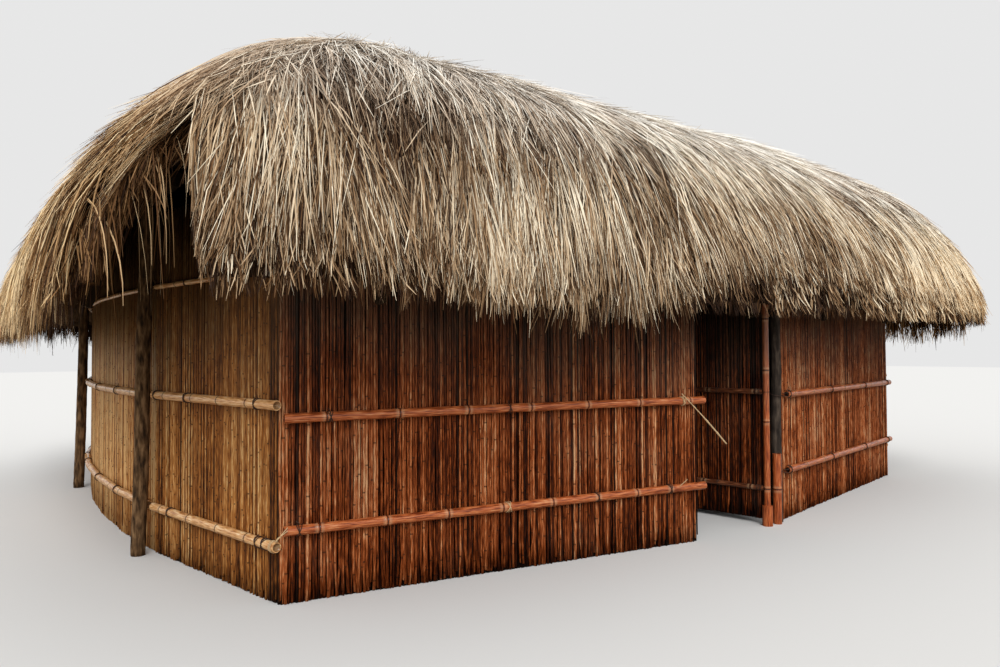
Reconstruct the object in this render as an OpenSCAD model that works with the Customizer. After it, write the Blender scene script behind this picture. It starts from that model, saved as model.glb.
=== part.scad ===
// Thatched reed house with swelling walls, a domed grass roof and a pivoting reed door.
// Origin on the ground at the middle of the plan, X along the house, the door side facing -Y.

/* [Plan] */
// Length of the house between its corners
house_l = 7340; // [6600:10:8200]
// Depth of the house between its corners
house_w = 6800; // [6200:10:7600]
// Distance that the long walls swell outwards at the doorway
front_bulge = 560; // [450:10:620]
// Distance that the end walls swell outwards at their posts
end_bulge = 340; // [200:10:400]
// Further swell of the end walls between their posts
end_crown = 120; // [60:10:180]
// Distance along the end wall from a corner to its post
end_bend = 1700; // [1500:10:2200]

/* [Walls] */
// Thickness of the reed walls
wall_t = 40; // [30:1:60]
// Gap between the reed walls' upper edges and the bearers of the roof
wall_gap = 27; // [15:1:120]
// Gap between the walls' upper edges and the rafters at the doorway
door_wall_gap = 110; // [60:5:160]
// Radius of the bamboo rails that pin the reeds
rail_r = 31; // [24:1:34]
// Radius of the thinner top rails
top_rail_r = 19; // [12:1:24]
// Height of the lower rails on the long walls
low_rail_z = 440; // [350:5:500]
// Height of the middle rails on the long walls
mid_rail_z = 1105; // [1000:5:1200]
// Height of the lower rails on the end walls
end_low_rail_z = 354; // [300:5:450]
// Height of the middle rails on the end walls
end_mid_rail_z = 1184; // [1050:5:1250]
// Height of the top rails
top_rail_z = 1990; // [1950:5:2020]

/* [Doorway] */
// Distance from the middle of the house to the doorway's left edge
door_left = 530; // [480:5:600]
// Distance from the middle of the house to the doorway's right edge
door_right = 610; // [580:5:680]
// Distance from the walls' upper edge down to the middle of the lintel
lintel_drop = 55; // [45:1:90]
// Radius of the lintel
lintel_r = 40; // [34:1:46]
// Distance of the pivot pole from the middle of the house
pivot_x = 350; // [330:2:356]
// Radius of the pivot pole
pole_r = 27; // [22:1:30]
// Thickness of the door leaf
leaf_t = 34; // [26:1:42]
// Distance from the ground to the bottom of the door leaf
leaf_lift = 45; // [30:5:120]
// Gap between the door leaf and the lintel
leaf_gap_top = 70; // [20:5:150]
// Angle of the open leaf from the line of the house
open_angle = 100; // [90:1:110]
// Height of the socket that the pivot pole turns in
socket_h = 170; // [120:5:220]
// Height of the bamboo stub in front of the jamb post
stub_h = 600; // [450:10:700]

/* [Posts] */
// Radius of the posts inside the walls
post_r = 50; // [40:1:58]
// Radius of the posts outside the end walls
end_post_r = 50; // [40:1:55]
// Radius of the bearers and the ridge pole
bearer_r = 50; // [40:1:60]
// Distance from the faces of the end walls out to the feet of the end posts
end_post_foot = 115; // [105:5:125]

/* [Roof] */
// Distance that the thatch hangs out past the swell of the end walls
end_overhang = 790; // [740:10:1000]
// Distance that the thatch hangs out past the doorway
front_overhang = 480; // [440:10:560]
// Half length of the ridge line
ridge_half = 500; // [300:10:800]
// Height of the top of the thatch
roof_top = 4220; // [4100:10:4500]
// Height at which the thatch turns down into its fringe
eave_z = 1850; // [1820:10:1950]
// Height of the lower edge of the fringe
fringe_z = 1700; // [1600:10:1800]
// Fullness of the roof's curve, 2 being an ellipse
fullness = 2.15; // [2:0.05:2.4]
// Corner radius of the roof in plan
roof_corner = 1300; // [1000:10:1400]
// Thickness of the thatch at the eaves
eave_t = 200; // [180:5:220]
// Thickness of the thatch at the ridge
ridge_t = 360; // [320:5:420]
// Radius of the rafters
rafter_r = 32; // [25:1:36]
// Radius of the battens
batten_r = 22; // [16:1:26]
// Number of rafters along each long side
rafters_per_side = 7; // [5:2:9]
// Number of rafters along each end
rafters_per_end = 5; // [3:2:7]

/* [Hidden] */
$fn = 48;

// Clearance between pieces that lie on each other
seat = 0.2;

// Points along the swell of an end wall between its posts
crown_steps = 4;
// Length by which the rails run past the doorway's left edge and stop short of the jamb
rail_past = 40;
jamb_short = 50;
// Length by which the end walls' rails run past a corner and the long walls' stop short of it
corner_past = 30;
corner_short = 25;
// Length by which the inner rails stop short of a corner
inner_short = wall_t + 3 * post_r;
// Distance from the wall's outer face to the middle of a post inside it
corner_in = wall_t + seat + post_r;
// Share of a bearer's radius by which it sinks into the tops of its posts
saddle = 0.5;
// Length by which an end post is drawn on past its level cuts
post_over = 100;
// Length by which an end bearer runs on past its posts
bearer_past = 900;
// Gap between an end bearer and the end wall
bearer_off = 10;

// Distance of the pivot pole in front of the doorway's edges
pivot_out = 30;
// Running gap round the pivot pole in its socket and loop
pole_clear = 0.25;
// Walls of the loop and the socket, the loop's height and the socket's floor
loop_wall = 10;
loop_h = 60;
socket_wall = 16;
socket_floor = 15;
// Bamboo stub: radius and the direction in which it stands off the jamb
stub_r = 38;
stub_angle = 33.5;
// Rails on the door leaf: radius and heights
leaf_rail_r = 22;
leaf_rail_zs = [314, 1137];
// Gap between the leaf's tip and the rails of the wall when the door is shut
tip_gap = 25;
// Distance from the pivot's axis to the leaf, past the socket
leaf_gap = pole_r + pole_clear + socket_wall + 6;
// Loose stick: radius, its top end back from the doorway and up, its low end on, out and down from the rail
stick_r = 4;
stick_back = 195;
stick_up = 55;
stick_ahead = 160;
stick_out = 150;
stick_down = 335;

// Curve angles at which the frame's straight stretches meet
FRAME_ANGLES = [0, 22, 50, 90];
// Curve angles of the thatch's rows of points, the frame's own angles among them
THATCH_ANGLES = [0, 8, 22, 36, 50, 66, 84];
// Curve angles of the two upper rings of the ridge cap
CAP_ANGLES = [87, 89.5];
// Steps round half a corner
arc_steps = 3;
// Height at which the notch between the front and left thatch closes
notch_top = 2800;
// Turn by which the notch opens towards the front and towards the side at the eave
notch_front_angle = 15;
notch_side_angle = 9;
// Distances by which the thatch of the ends lies inside that of the long sides at the eave and
// below it at the ridge, and the turn by which it keeps clear of it at the hips
end_in = 70;
end_down = 200;
hip_clear = 0.01;
// Fractions of the three stretches at which battens lie
batten_at = [[0.3, 0.75], [0.2, 0.5, 0.8], [0.2, 0.5, 0.8]];
// Fractions at which the eave rafters start and the upper rafters end past the ridge, and the least drawn
eave_share = 0.1;
ridge_share = 1.008;
least_share = 0.1;
// Shares of its first and last stretch by which a hip rafter stops short of the eave and the ridge
hip_foot_share = 0.6;
hip_share = 0.25;

REED_GOLD = [0.62, 0.40, 0.18];
REED_RED = [0.48, 0.19, 0.08];
BAMBOO = [0.72, 0.36, 0.18];
DARK_WOOD = [0.26, 0.19, 0.14];
GRASS = [0.62, 0.53, 0.41];

function unit(v) = v / norm(v);
function turned(v) = [-v[1], v[0]];

// Outline of the outer wall faces, counterclockwise from the front left corner
hl = house_l / 2;
hw = house_w / 2;
LEFT_EDGE = [-door_left, -hw - front_bulge];
RIGHT_EDGE = [door_right, -hw - front_bulge];
// Points of an end wall between its two posts, on the side with the sign s, upwards in Y
function crown(s) = [for (i = [0 : crown_steps])
    let (f = 2 * i / crown_steps - 1)
    [s * (hl + end_bulge + end_crown * (1 - f * f)), f * (hw - end_bend)]];
function flip(list) = [for (i = [len(list) - 1 : -1 : 0]) list[i]];
OUTLINE = concat(
    [[-hl, -hw], LEFT_EDGE, RIGHT_EDGE, [hl, -hw]],
    crown(1),
    [[hl, hw], [door_right, hw + front_bulge], [-door_left, hw + front_bulge], [-hl, hw]],
    flip(crown(-1)));
CORNERS = [0, 3, 9, 12];
n_out = len(OUTLINE);

// Point of the outline moved inwards by a distance from both faces that meet there
function inset(i, d) =
    let (p = OUTLINE[i],
         u = unit(p - OUTLINE[(i + n_out - 1) % n_out]),
         v = unit(OUTLINE[(i + 1) % n_out] - p),
         k = turned(u) + turned(v))
    p + k * d / (1 + turned(u) * turned(v));

// Reed panel from outline point i to point j, with a top that falls from h0 to h1
module panel(i, j, h0, h1) {
    p = OUTLINE[i];
    q = OUTLINE[j % n_out];
    steps = [for (k = [i : j]) k % n_out];
    dir = unit(q - p);
    plan = concat([for (k = steps) OUTLINE[k]], flip([for (k = steps) inset(k, wall_t)]));
    intersection() {
        linear_extrude(max(h0, h1)) polygon(plan);
        translate(p)
        rotate(atan2(dir[1], dir[0]))
        translate([0, 2 * end_bulge])
        rotate([90, 0, 0])
        linear_extrude(4 * end_bulge)
        polygon([[-wall_t, 0], [norm(q - p) + wall_t, 0],
                 [norm(q - p) + wall_t, h1 + (h1 - h0) * wall_t / norm(q - p)],
                 [-wall_t, h0 - (h1 - h0) * wall_t / norm(q - p)]]);
    }
}

// Straight end panel of a long wall beside the doorway, cut square at the doorway
module door_panel(corner, edge, h_corner, h_edge) {
    c = OUTLINE[corner];
    e = OUTLINE[edge];
    dir = unit(e - c);
    side = edge > corner ? 1 : -1;
    square_end = e + side * turned(dir) * wall_t;
    run = norm(e - c);
    intersection() {
        linear_extrude(h_corner)
        polygon([c, e, square_end, inset(corner, wall_t)]);
        translate(c)
        rotate(atan2(dir[1], dir[0]))
        translate([0, 2 * wall_t])
        rotate([90, 0, 0])
        linear_extrude(4 * wall_t)
        polygon([[0, 0], [run, 0], [run, h_edge], [0, h_corner]]);
    }
}

// Round pole between two points
module pole(a, b, r) {
    d = b - a;
    translate(a)
    rotate([0, acos(d[2] / norm(d)), atan2(d[1], d[0])])
    cylinder(r = r, h = norm(d));
}

// Round poles along a bent path in the XY plane, mitred against each other at its bends
module bent_pole(path, r) {
    last = len(path) - 1;
    reach = 4 * r;
    dirs = [for (k = [0 : last - 1]) unit(path[k + 1] - path[k])];
    for (k = [0 : last - 1]) {
        a = path[k] - dirs[k] * (k > 0 ? reach : 0);
        b = path[k + 1] + dirs[k] * (k < last - 1 ? reach : 0);
        m0 = unit(turned(dirs[max(k - 1, 0)]) + turned(dirs[k]));
        m1 = unit(turned(dirs[k]) + turned(dirs[min(k + 1, last - 1)]));
        p = path[k] + dirs[k] * (k > 0 ? seat / 2 : 0);
        q = path[k + 1] - dirs[k] * (k < last - 1 ? seat / 2 : 0);
        intersection() {
            pole([a[0], a[1], 0], [b[0], b[1], 0], r);
            linear_extrude(reach, center = true)
            polygon([p + m0 * reach, p - m0 * reach, q - m1 * reach, q + m1 * reach]);
        }
    }
}

// Rail on the outer faces from outline point i to point j at a height, run past both by a length
module rail(i, j, z, r, past) {
    a = OUTLINE[i];
    b = OUTLINE[j % n_out];
    d0 = unit(OUTLINE[i + 1] - a);
    d1 = unit(b - OUTLINE[j - 1]);
    off = r + seat;
    translate([0, 0, z])
    bent_pole(concat(
        [a - turned(d0) * off - d0 * past],
        [for (k = [i + 1 : j - 1]) inset(k, -off)],
        [b - turned(d1) * off + d1 * past]), r);
}

// Rail on one straight panel between two points of its outer face
module face_rail(p, q, z, r, past0, past1, out = 1) {
    dir = unit(q - p);
    off = out > 0 ? -turned(dir) * (r + seat) : turned(dir) * (wall_t + r + seat);
    a = p + off - dir * past0;
    b = q + off + dir * past1;
    pole([a[0], a[1], z], [b[0], b[1], z], r);
}

// Half length and half depth of the roof at the eaves
roof_a = hl + end_bulge + end_crown + end_overhang;
roof_b = hw + front_bulge + front_overhang;
// The roof's curve: c runs from 1 at the eave to 0 at the ridge, and s the other way
function c_of(t) = pow(cos(t), 2 / fullness);
function s_of(t) = pow(sin(t), 2 / fullness);
function half_a(t, inner) = ridge_half + (roof_a - inner - ridge_half) * c_of(t);
function half_b(t, inner) = (roof_b - inner) * c_of(t);
function z_out(t) = eave_z + (roof_top - eave_z) * s_of(t);
function z_in(t) = fringe_z + (roof_top - ridge_t - fringe_z) * s_of(t);
function corner_r(t, inner) = (roof_corner - inner) * c_of(t);

// Point (distance out from the middle, height) of the frame line k on a long side or an end
function frame_pt(k, long) =
    let (t = FRAME_ANGLES[k])
    [long ? half_b(t, eave_t) : half_a(t, eave_t), z_in(t)];
// Direction up stretch k, and a point at fraction f and depth d under the thatch
function up_dir(k, long) = unit(frame_pt(k + 1, long) - frame_pt(k, long));
function under(k, f, d, long) =
    let (u = up_dir(k, long))
    mix(frame_pt(k, long), frame_pt(k + 1, long), f) - [u[1], -u[0]] * d;
// Height of the middle of a log that lies under the rafters of stretch k at distance out
function log_z(k, out, r, long) =
    let (p = frame_pt(k, long), u = up_dir(k, long), d = 2 * batten_r + 2 * rafter_r + r + 3 * seat)
    p[1] + (p[0] - out) * u[1] / -u[0] - d / -u[0];

// Depths under the thatch of the middles of the battens and rafters
batten_d = batten_r + seat;
rafter_d = 2 * batten_r + rafter_r + 2 * seat;

// Places of the bearers that carry the rafters
long_bearer_y = -inset(0, corner_in)[1];
long_bearer_z = log_z(1, long_bearer_y, bearer_r, true);
end_bearer_x = hl + end_bulge + end_post_r + bearer_off;
end_bearer_z = log_z(1, end_bearer_x, bearer_r, false);

// Height of the reed walls at the corners and ends, below the lowest bearer
wall_h = min(long_bearer_z, end_bearer_z) - bearer_r - wall_gap;
// Height of the walls beside the doorway, below the inner sides of the eave rafters
door_wall_h =
    let (p = frame_pt(0, true), u = up_dir(0, true), out = p[0] - (rafter_d + rafter_r) / u[1])
    p[1] + (out - hw - front_bulge) * u[1] / -u[0] - door_wall_gap;
lintel_z = door_wall_h - lintel_drop;
leaf_h = lintel_z - lintel_r - leaf_gap_top - leaf_lift;

// Places in plan of the door post, the jamb, the pivot and the lintel, and the leaf's reach
door_post_at = let (d = unit(LEFT_EDGE - OUTLINE[0])) LEFT_EDGE + turned(d) * corner_in - d * post_r;
jamb_at = let (d = unit(OUTLINE[3] - RIGHT_EDGE)) RIGHT_EDGE + turned(d) * wall_t / 2 - d * (post_r + seat);
PIVOT = [pivot_x, LEFT_EDGE[1] - pivot_out];
lintel_y = PIVOT[1] + pole_r + pole_clear + loop_wall + lintel_r + seat;
lintel_from = LEFT_EDGE[0] + turned(unit(LEFT_EDGE - OUTLINE[0]))[0] * wall_t + seat;
leaf_w = PIVOT[0] + door_left - rail_past - tip_gap;

// Straight part of the roof at curve angle t, measured from the middle
function straight(t, long) = (long ? half_a(t, eave_t) : half_b(t, eave_t)) - corner_r(t, eave_t);

// A place on a side: w along it, d out from the middle, z up
function place(w, p, long, s) = long ? [w, s * p[0], p[1]] : [s * p[0], w, p[1]];

// Rafter positions along a side
function spread(n, reach) = [for (i = [0 : n - 1]) -reach + 2 * reach * i / (n - 1)];
long_reach = straight(FRAME_ANGLES[1], true) - 3 * rafter_r;
end_reach = straight(FRAME_ANGLES[1], false) - 3 * rafter_r;
function rafter_w(long) = long ? spread(rafters_per_side, long_reach) : spread(rafters_per_end, end_reach);
// Sideways step by which the rafters of one stretch lie beside those of the next
lap = 2 * rafter_r + seat;

// Highest fraction of stretch k that the straight part still covers at w
function top_f(k, w, long) =
    let (s0 = straight(FRAME_ANGLES[k], long), s1 = straight(FRAME_ANGLES[k + 1], long))
    abs(w) + rafter_r < s1 ? ridge_share : (s0 - abs(w) - rafter_r) / (s0 - s1);

// Rafters of stretch k between the fractions f0 and f1, those of the two sides shifted apart
module rafter_row(k, f0, f1, long, shift) {
    for (s = [-1, 1], w0 = rafter_w(long)) {
        w = w0 + s * shift;
        f = min(f1, top_f(k, w, long));
        if (f > f0 + least_share)
            pole(place(w, under(k, f0, rafter_d, long), long, s),
                 place(w, under(k, f, rafter_d, long), long, s), rafter_r);
    }
}

// Battens of stretch k at the given fractions, as long as the straight part
module batten_row(k, fractions, long) {
    for (s = [-1, 1], f = fractions) {
        w = mix(straight(FRAME_ANGLES[k], long), straight(FRAME_ANGLES[k + 1], long), f);
        p = under(k, f, batten_d, long);
        pole(place(-w, p, long, s), place(w, p, long, s), batten_r);
    }
}

// Point under the junction at the foot of stretch k, at depth d from both stretches that meet there
function junction(k, d, long) =
    let (a = up_dir(k - 1, long), b = up_dir(k, long), n = unit([a[1] + b[1], -a[0] - b[0]]))
    frame_pt(k, long) - n * d / (n * [b[1], -b[0]]);

function frame_stretch(t) = t < FRAME_ANGLES[1] ? 0 : t < FRAME_ANGLES[2] ? 1 : 2;
function mix(a, b, f) = a + (b - a) * f;

// Point of the rounded plan at curve angle t in the direction ang, for the corner facing q
function rim(t, ang, q, inner) =
    let (r = corner_r(t, inner), sx = cos(q) > 0 ? 1 : -1, sy = sin(q) > 0 ? 1 : -1)
    [sx * (half_a(t, inner) - r) + r * cos(ang), sy * (half_b(t, inner) - r) + r * sin(ang)];
function outer_pt(t, ang, q, sunk = 0) =
    let (p = rim(t, ang, q, sunk * end_in)) [p[0], p[1], z_out(t) - sunk * end_down * s_of(t)];
function frame_rim(k, ang, q) =
    let (p = rim(FRAME_ANGLES[k], ang, q, eave_t)) [p[0], p[1], z_in(FRAME_ANGLES[k])];
function inner_pt(t, ang, q) =
    let (k = frame_stretch(t), f = (t - FRAME_ANGLES[k]) / (FRAME_ANGLES[k + 1] - FRAME_ANGLES[k]))
    mix(frame_rim(k, ang, q), frame_rim(k + 1, ang, q), f);

// Share by which the notch is open at the curve angle t
function open_share(t) = sqrt(max(0, min(1, (notch_top - z_out(t)) / (notch_top - eave_z))));
// Directions of the columns of the side that faces a, at the curve angle t, when its edges
// are turned by open0 and open1 at the notch and by less elsewhere
function turns(a, t, open0, open1, less = 0) = concat(
    [for (i = [arc_steps : -1 : 0]) [a - (45 - less + open0 * open_share(t)) * i / arc_steps, a - 45]],
    [for (i = [0 : arc_steps]) [a + (45 - less + open1 * open_share(t)) * i / arc_steps, a + 45]]);

// Thatch over the side of the roof that faces a, sunk at the ends
module thatch_side(a, open0 = 0, open1 = 0, sunk = 0) {
    rows = len(THATCH_ANGLES);
    less = sunk * hip_clear;
    dirs = [for (t = THATCH_ANGLES) [for (c = turns(a, t, open0, open1, less)) [t, c[0], c[1]]]];
    outer = [for (row = dirs) [for (d = row) outer_pt(d[0], d[1], d[2], sunk)]];
    inner = [for (row = dirs) [for (d = row) inner_pt(d[0], d[1], d[2])]];
    hem = [for (p = outer[0]) [p[0], p[1], fringe_z]];
    nc = len(hem);
    points = concat(hem, [for (row = outer) each row], [for (row = inner) each row]);
    out0 = nc;
    in0 = nc + rows * nc;
    polyhedron(points, concat(
        grid_faces(0, out0, nc),
        [for (j = [0 : rows - 2]) each grid_faces(out0 + j * nc, out0 + (j + 1) * nc, nc)],
        [for (j = [0 : rows - 2]) each grid_faces(in0 + (j + 1) * nc, in0 + j * nc, nc)],
        grid_faces(in0, 0, nc),
        grid_faces(out0 + (rows - 1) * nc, in0 + (rows - 1) * nc, nc),
        [[0, in0, out0], [nc - 1, out0 + nc - 1, in0 + nc - 1]],
        [for (j = [0 : rows - 2]) each verge_faces(out0 + j * nc, in0 + j * nc, nc)],
        [for (j = [0 : rows - 2], f = verge_faces(out0 + (j + 1) * nc - 1, in0 + (j + 1) * nc - 1, nc))
            [f[0], f[2], f[1]]]),
        convexity = 6);
}
// Triangles between two rows of n points that start at low and high
function grid_faces(low, high, n) = [for (i = [0 : n - 2])
    each [[low + i, high + i, high + i + 1], [low + i, high + i + 1, low + i + 1]]];
// Two triangles of a verge, between the outer point a and the inner point b and those a row of n above
function verge_faces(a, b, n) = [[a, b + n, a + n], [a, b, b + n]];

// Cap of thatch over the ridge
module thatch_cap() {
    t0 = THATCH_ANGLES[len(THATCH_ANGLES) - 1];
    t1 = CAP_ANGLES[1];
    dirs = [for (a = [0 : 90 : 270]) each turns(a, t0, 0, 0)];
    n = len(dirs);
    ring = function (f, t) [for (c = dirs) f(t, c[0], c[1])];
    outer = function (t, ang, q) outer_pt(t, ang, q);
    inner = function (t, ang, q) inner_pt(t, ang, q);
    points = concat(
        ring(inner, t1), ring(inner, t0),
        ring(outer, t0), ring(outer, CAP_ANGLES[0]), ring(outer, t1));
    polyhedron(points, concat(
        [[for (i = [0 : n - 1]) i]],
        [for (row = [0 : 3]) each ring_faces(row * n, n)],
        [[for (i = [n - 1 : -1 : 0]) 4 * n + i]]));
}
// Triangles between a closed ring of n points that starts at low and the next ring
function ring_faces(low, n) = [for (i = [0 : n - 1]) let (k = (i + 1) % n)
    each [[low + k, low + n + i, low + n + k], [low + k, low + i, low + n + i]]];

// Reed walls
module front_wall_left() { color(REED_RED) door_panel(0, 1, wall_h, door_wall_h); }
module front_wall_right() { color(REED_RED) door_panel(3, 2, wall_h, door_wall_h); }
module right_wall_front() { color(REED_GOLD) panel(3, 4, wall_h, wall_h); }
module right_wall_middle() { color(REED_GOLD) panel(4, 8, wall_h, wall_h); }
module right_wall_rear() { color(REED_GOLD) panel(8, 9, wall_h, wall_h); }
module rear_wall_right() { color(REED_RED) panel(9, 10, wall_h, door_wall_h); }
module rear_wall_middle() { color(REED_RED) panel(10, 11, door_wall_h, door_wall_h); }
module rear_wall_left() { color(REED_RED) panel(11, 12, door_wall_h, wall_h); }
module left_wall_rear() { color(REED_GOLD) panel(12, 13, wall_h, wall_h); }
module left_wall_middle() { color(REED_GOLD) panel(13, 17, wall_h, wall_h); }
module left_wall_front() { color(REED_GOLD) panel(17, 18, wall_h, wall_h); }

// Rails on the two panels of a long wall beside a doorway, from p0 to p1 and from p2 to p3
module long_rails(p0, p1, p2, p3) {
    for (z = [low_rail_z, mid_rail_z]) {
        face_rail(p0, p1, z, rail_r, -corner_short, rail_past);
        face_rail(p2, p3, z, rail_r, -jamb_short, -corner_short);
    }
    face_rail(p0, p1, top_rail_z, top_rail_r, -corner_short, 0);
    face_rail(p2, p3, top_rail_z, top_rail_r, -jamb_short, -corner_short);
}
module front_rails() { color(BAMBOO) long_rails(OUTLINE[0], OUTLINE[1], OUTLINE[2], OUTLINE[3]); }
module rear_rails() {
    color(BAMBOO) {
        for (z = [low_rail_z, mid_rail_z]) rail(9, 12, z, rail_r, -corner_short);
        rail(9, 12, top_rail_z, top_rail_r, -corner_short);
    }
}
// Rails of an end wall from outline point i to point l, cut by the posts
module end_rails(i, l, s) {
    color(BAMBOO)
    difference() {
        for (z = [end_low_rail_z, end_mid_rail_z, top_rail_z]) {
            r = z == top_rail_z ? top_rail_r : rail_r;
            rail(i, l, z, r, corner_past);
        }
        for (y = [-1, 1]) end_post(s, y, end_post_r + seat, 10);
    }
}
module left_end_rails() { end_rails(12, 18, -1); }
module right_end_rails() { end_rails(3, 9, 1); }

// Rails on the inner faces, between the posts
module inner_rails() {
    color(BAMBOO)
    for (z = [low_rail_z, mid_rail_z, top_rail_z]) {
        r = z == top_rail_z ? top_rail_r : rail_r;
        face_rail(OUTLINE[0], OUTLINE[1], z, r, -inner_short, -inner_short, -1);
        face_rail(OUTLINE[2], OUTLINE[3], z, r, -inner_short, -inner_short, -1);
        for (i = [3, 8, 9, 11, 12, 17])
            face_rail(OUTLINE[i], OUTLINE[(i + 1) % n_out], z, r, -inner_short, -inner_short, -1);
    }
}
// Posts
module corner_posts() {
    color(DARK_WOOD)
    difference() {
        for (i = CORNERS)
            translate(inset(i, corner_in))
            cylinder(r = post_r, h = long_bearer_z - saddle * bearer_r);
        for (s = [-1, 1]) long_bearer(s, bearer_r + seat);
    }
}
module long_bearer(s, r) {
    x = inset(3, corner_in)[0];
    y = s * long_bearer_y;
    pole([-x, y, long_bearer_z], [x, y, long_bearer_z], r);
}
module front_bearer() { color(DARK_WOOD) long_bearer(-1, bearer_r); }
module rear_bearer() { color(DARK_WOOD) long_bearer(1, bearer_r); }

// Post outside an end wall, leaning in to its bearer and cut level at the ground and at its top
module end_post(s, y, r, extra = 0) {
    w = y * (hw - end_bend);
    foot = hl + end_bulge + end_post_foot;
    lean = (end_bearer_x - foot) / end_bearer_z;
    top = end_bearer_z - saddle * bearer_r + extra;
    intersection() {
        pole([s * (foot - post_over * lean), w, -post_over],
             [s * (foot + lean * (top + post_over)), w, top + post_over], r);
        translate([s * foot, w, top / 2]) cube([6 * r, 6 * r, top + extra], center = true);
    }
}
module end_bearer(s, r) {
    w = hw - end_bend + bearer_past;
    pole([s * end_bearer_x, -w, end_bearer_z], [s * end_bearer_x, w, end_bearer_z], r);
}
module end_posts(s) {
    color(DARK_WOOD)
    difference() {
        for (y = [-1, 1]) end_post(s, y, end_post_r);
        end_bearer(s, bearer_r + seat);
    }
}
module left_end_posts() { end_posts(-1); }
module right_end_posts() { end_posts(1); }
module end_bearers() { color(DARK_WOOD) for (s = [-1, 1]) end_bearer(s, bearer_r); }

// Doorway
module door_post() { color(DARK_WOOD) translate(door_post_at) cylinder(r = post_r, h = door_wall_h); }
module jamb_post() { color(DARK_WOOD) translate(jamb_at) cylinder(r = post_r, h = door_wall_h); }
module jamb_stub() {
    color(BAMBOO)
    translate(jamb_at + [-cos(stub_angle), -sin(stub_angle)] * (post_r + stub_r + seat))
    cylinder(r = stub_r, h = stub_h);
}
module lintel() {
    color(DARK_WOOD)
    difference() {
        pole([lintel_from, lintel_y, lintel_z], [jamb_at[0], lintel_y, lintel_z], lintel_r);
        for (p = [door_post_at, jamb_at]) translate(p) cylinder(r = post_r + seat, h = 2 * lintel_z);
    }
}
module pivot_socket() {
    color(BAMBOO)
    translate(PIVOT)
    difference() {
        cylinder(r = pole_r + pole_clear + socket_wall, h = socket_h);
        translate([0, 0, socket_floor]) cylinder(r = pole_r + pole_clear, h = socket_h);
    }
}
module pivot_loop() {
    color(BAMBOO)
    translate([PIVOT[0], PIVOT[1], lintel_z - loop_h / 2])
    difference() {
        cylinder(r = pole_r + pole_clear + loop_wall, h = loop_h);
        translate([0, 0, -seat]) cylinder(r = pole_r + pole_clear, h = loop_h + 2 * seat);
    }
}

// Door, drawn along +X from the pivot pole and turned to its open place; the leaf hangs behind its rails
module open_leaf() { translate(PIVOT) rotate(open_angle) children(); }
module door_leaf() {
    color(REED_RED)
    open_leaf()
    translate([leaf_gap, -leaf_rail_r - seat - leaf_t, leaf_lift])
    cube([leaf_w - leaf_gap, leaf_t, leaf_h]);
}
module door_rails() {
    color(BAMBOO)
    open_leaf()
    difference() {
        for (z = leaf_rail_zs) pole([0, 0, z], [leaf_w, 0, z], leaf_rail_r);
        cylinder(r = pole_r + seat, h = leaf_h);
    }
}
module pivot_pole() {
    color(BAMBOO)
    translate([PIVOT[0], PIVOT[1], socket_floor + seat])
    cylinder(r = pole_r, h = lintel_z + loop_h - socket_floor);
}
// Loose stick pushed under the middle rail at the doorway's left edge
module tie_stick() {
    d = unit(LEFT_EDGE - OUTLINE[0]);
    n = -turned(d);
    rise = stick_down + stick_up;
    lean = atan2(rail_r + seat - stick_out, stick_down) + asin((rail_r + seat + stick_r)
        / norm([rail_r + seat - stick_out, stick_down]));
    top = LEFT_EDGE - d * stick_back + n * (stick_out + rise * tan(lean));
    low = LEFT_EDGE + d * stick_ahead + n * stick_out;
    color(REED_GOLD)
    pole([top[0], top[1], mid_rail_z + stick_up], [low[0], low[1], mid_rail_z - stick_down], stick_r);
}

// Roof frame
module eave_rafters() {
    color(DARK_WOOD) for (long = [true, false]) rafter_row(0, eave_share, 1, long, lap);
}
module rafters() {
    color(DARK_WOOD) for (long = [true, false]) rafter_row(1, 0, 1, long, 0);
}
module upper_rafters() {
    color(DARK_WOOD) for (long = [true, false]) rafter_row(2, 0, ridge_share, long, lap);
}
module long_battens() {
    color(DARK_WOOD) for (k = [0 : 2]) batten_row(k, batten_at[k], true);
}
module end_battens() {
    color(DARK_WOOD) for (k = [0 : 2]) batten_row(k, batten_at[k], false);
}
module purlins() {
    color(DARK_WOOD)
    for (long = [true, false], s = [-1, 1]) {
        p = junction(2, 2 * batten_r + 2 * rafter_r + bearer_r + 3 * seat, long);
        w = straight(FRAME_ANGLES[2], long);
        pole(place(-w, p, long, s), place(w, p, long, s), bearer_r);
    }
}
module ridge_pole() {
    z = log_z(2, 0, bearer_r, true);
    color(DARK_WOOD) pole([-ridge_half, 0, z], [ridge_half, 0, z], bearer_r);
}
// Hip rafters: a bent pole under each corner of the thatch
module hip_rafters() {
    d = rafter_r / cos(45 / arc_steps / 2) + 2 * seat;
    color(DARK_WOOD)
    for (sx = [-1, 1], sy = [-1, 1]) {
        q = atan2(sy, sx);
        rims = [for (k = [0 : 3]) frame_rim(k, q, q)];
        top = rims[3];
        run = unit([rims[0][0] - top[0], rims[0][1] - top[1]]);
        line = [for (p = rims) [norm([p[0] - top[0], p[1] - top[1]]), p[2]]];
        path = [for (k = [0 : 3])
            let (a = unit(line[max(k, 1)] - line[max(k, 1) - 1]),
                 b = unit(line[min(k + 1, 3)] - line[min(k, 2)]),
                 n = unit([a[1] + b[1], -a[0] - b[0]]))
            line[k] - n * d / (n * [b[1], -b[0]])];
        foot = mix(path[0], path[1], hip_foot_share);
        head = mix(path[3], path[2], hip_share);
        translate([top[0], top[1], 0])
        rotate([90, 0, atan2(run[1], run[0])])
        bent_pole([foot, path[1], path[2], head], rafter_r);
    }
}

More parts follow.
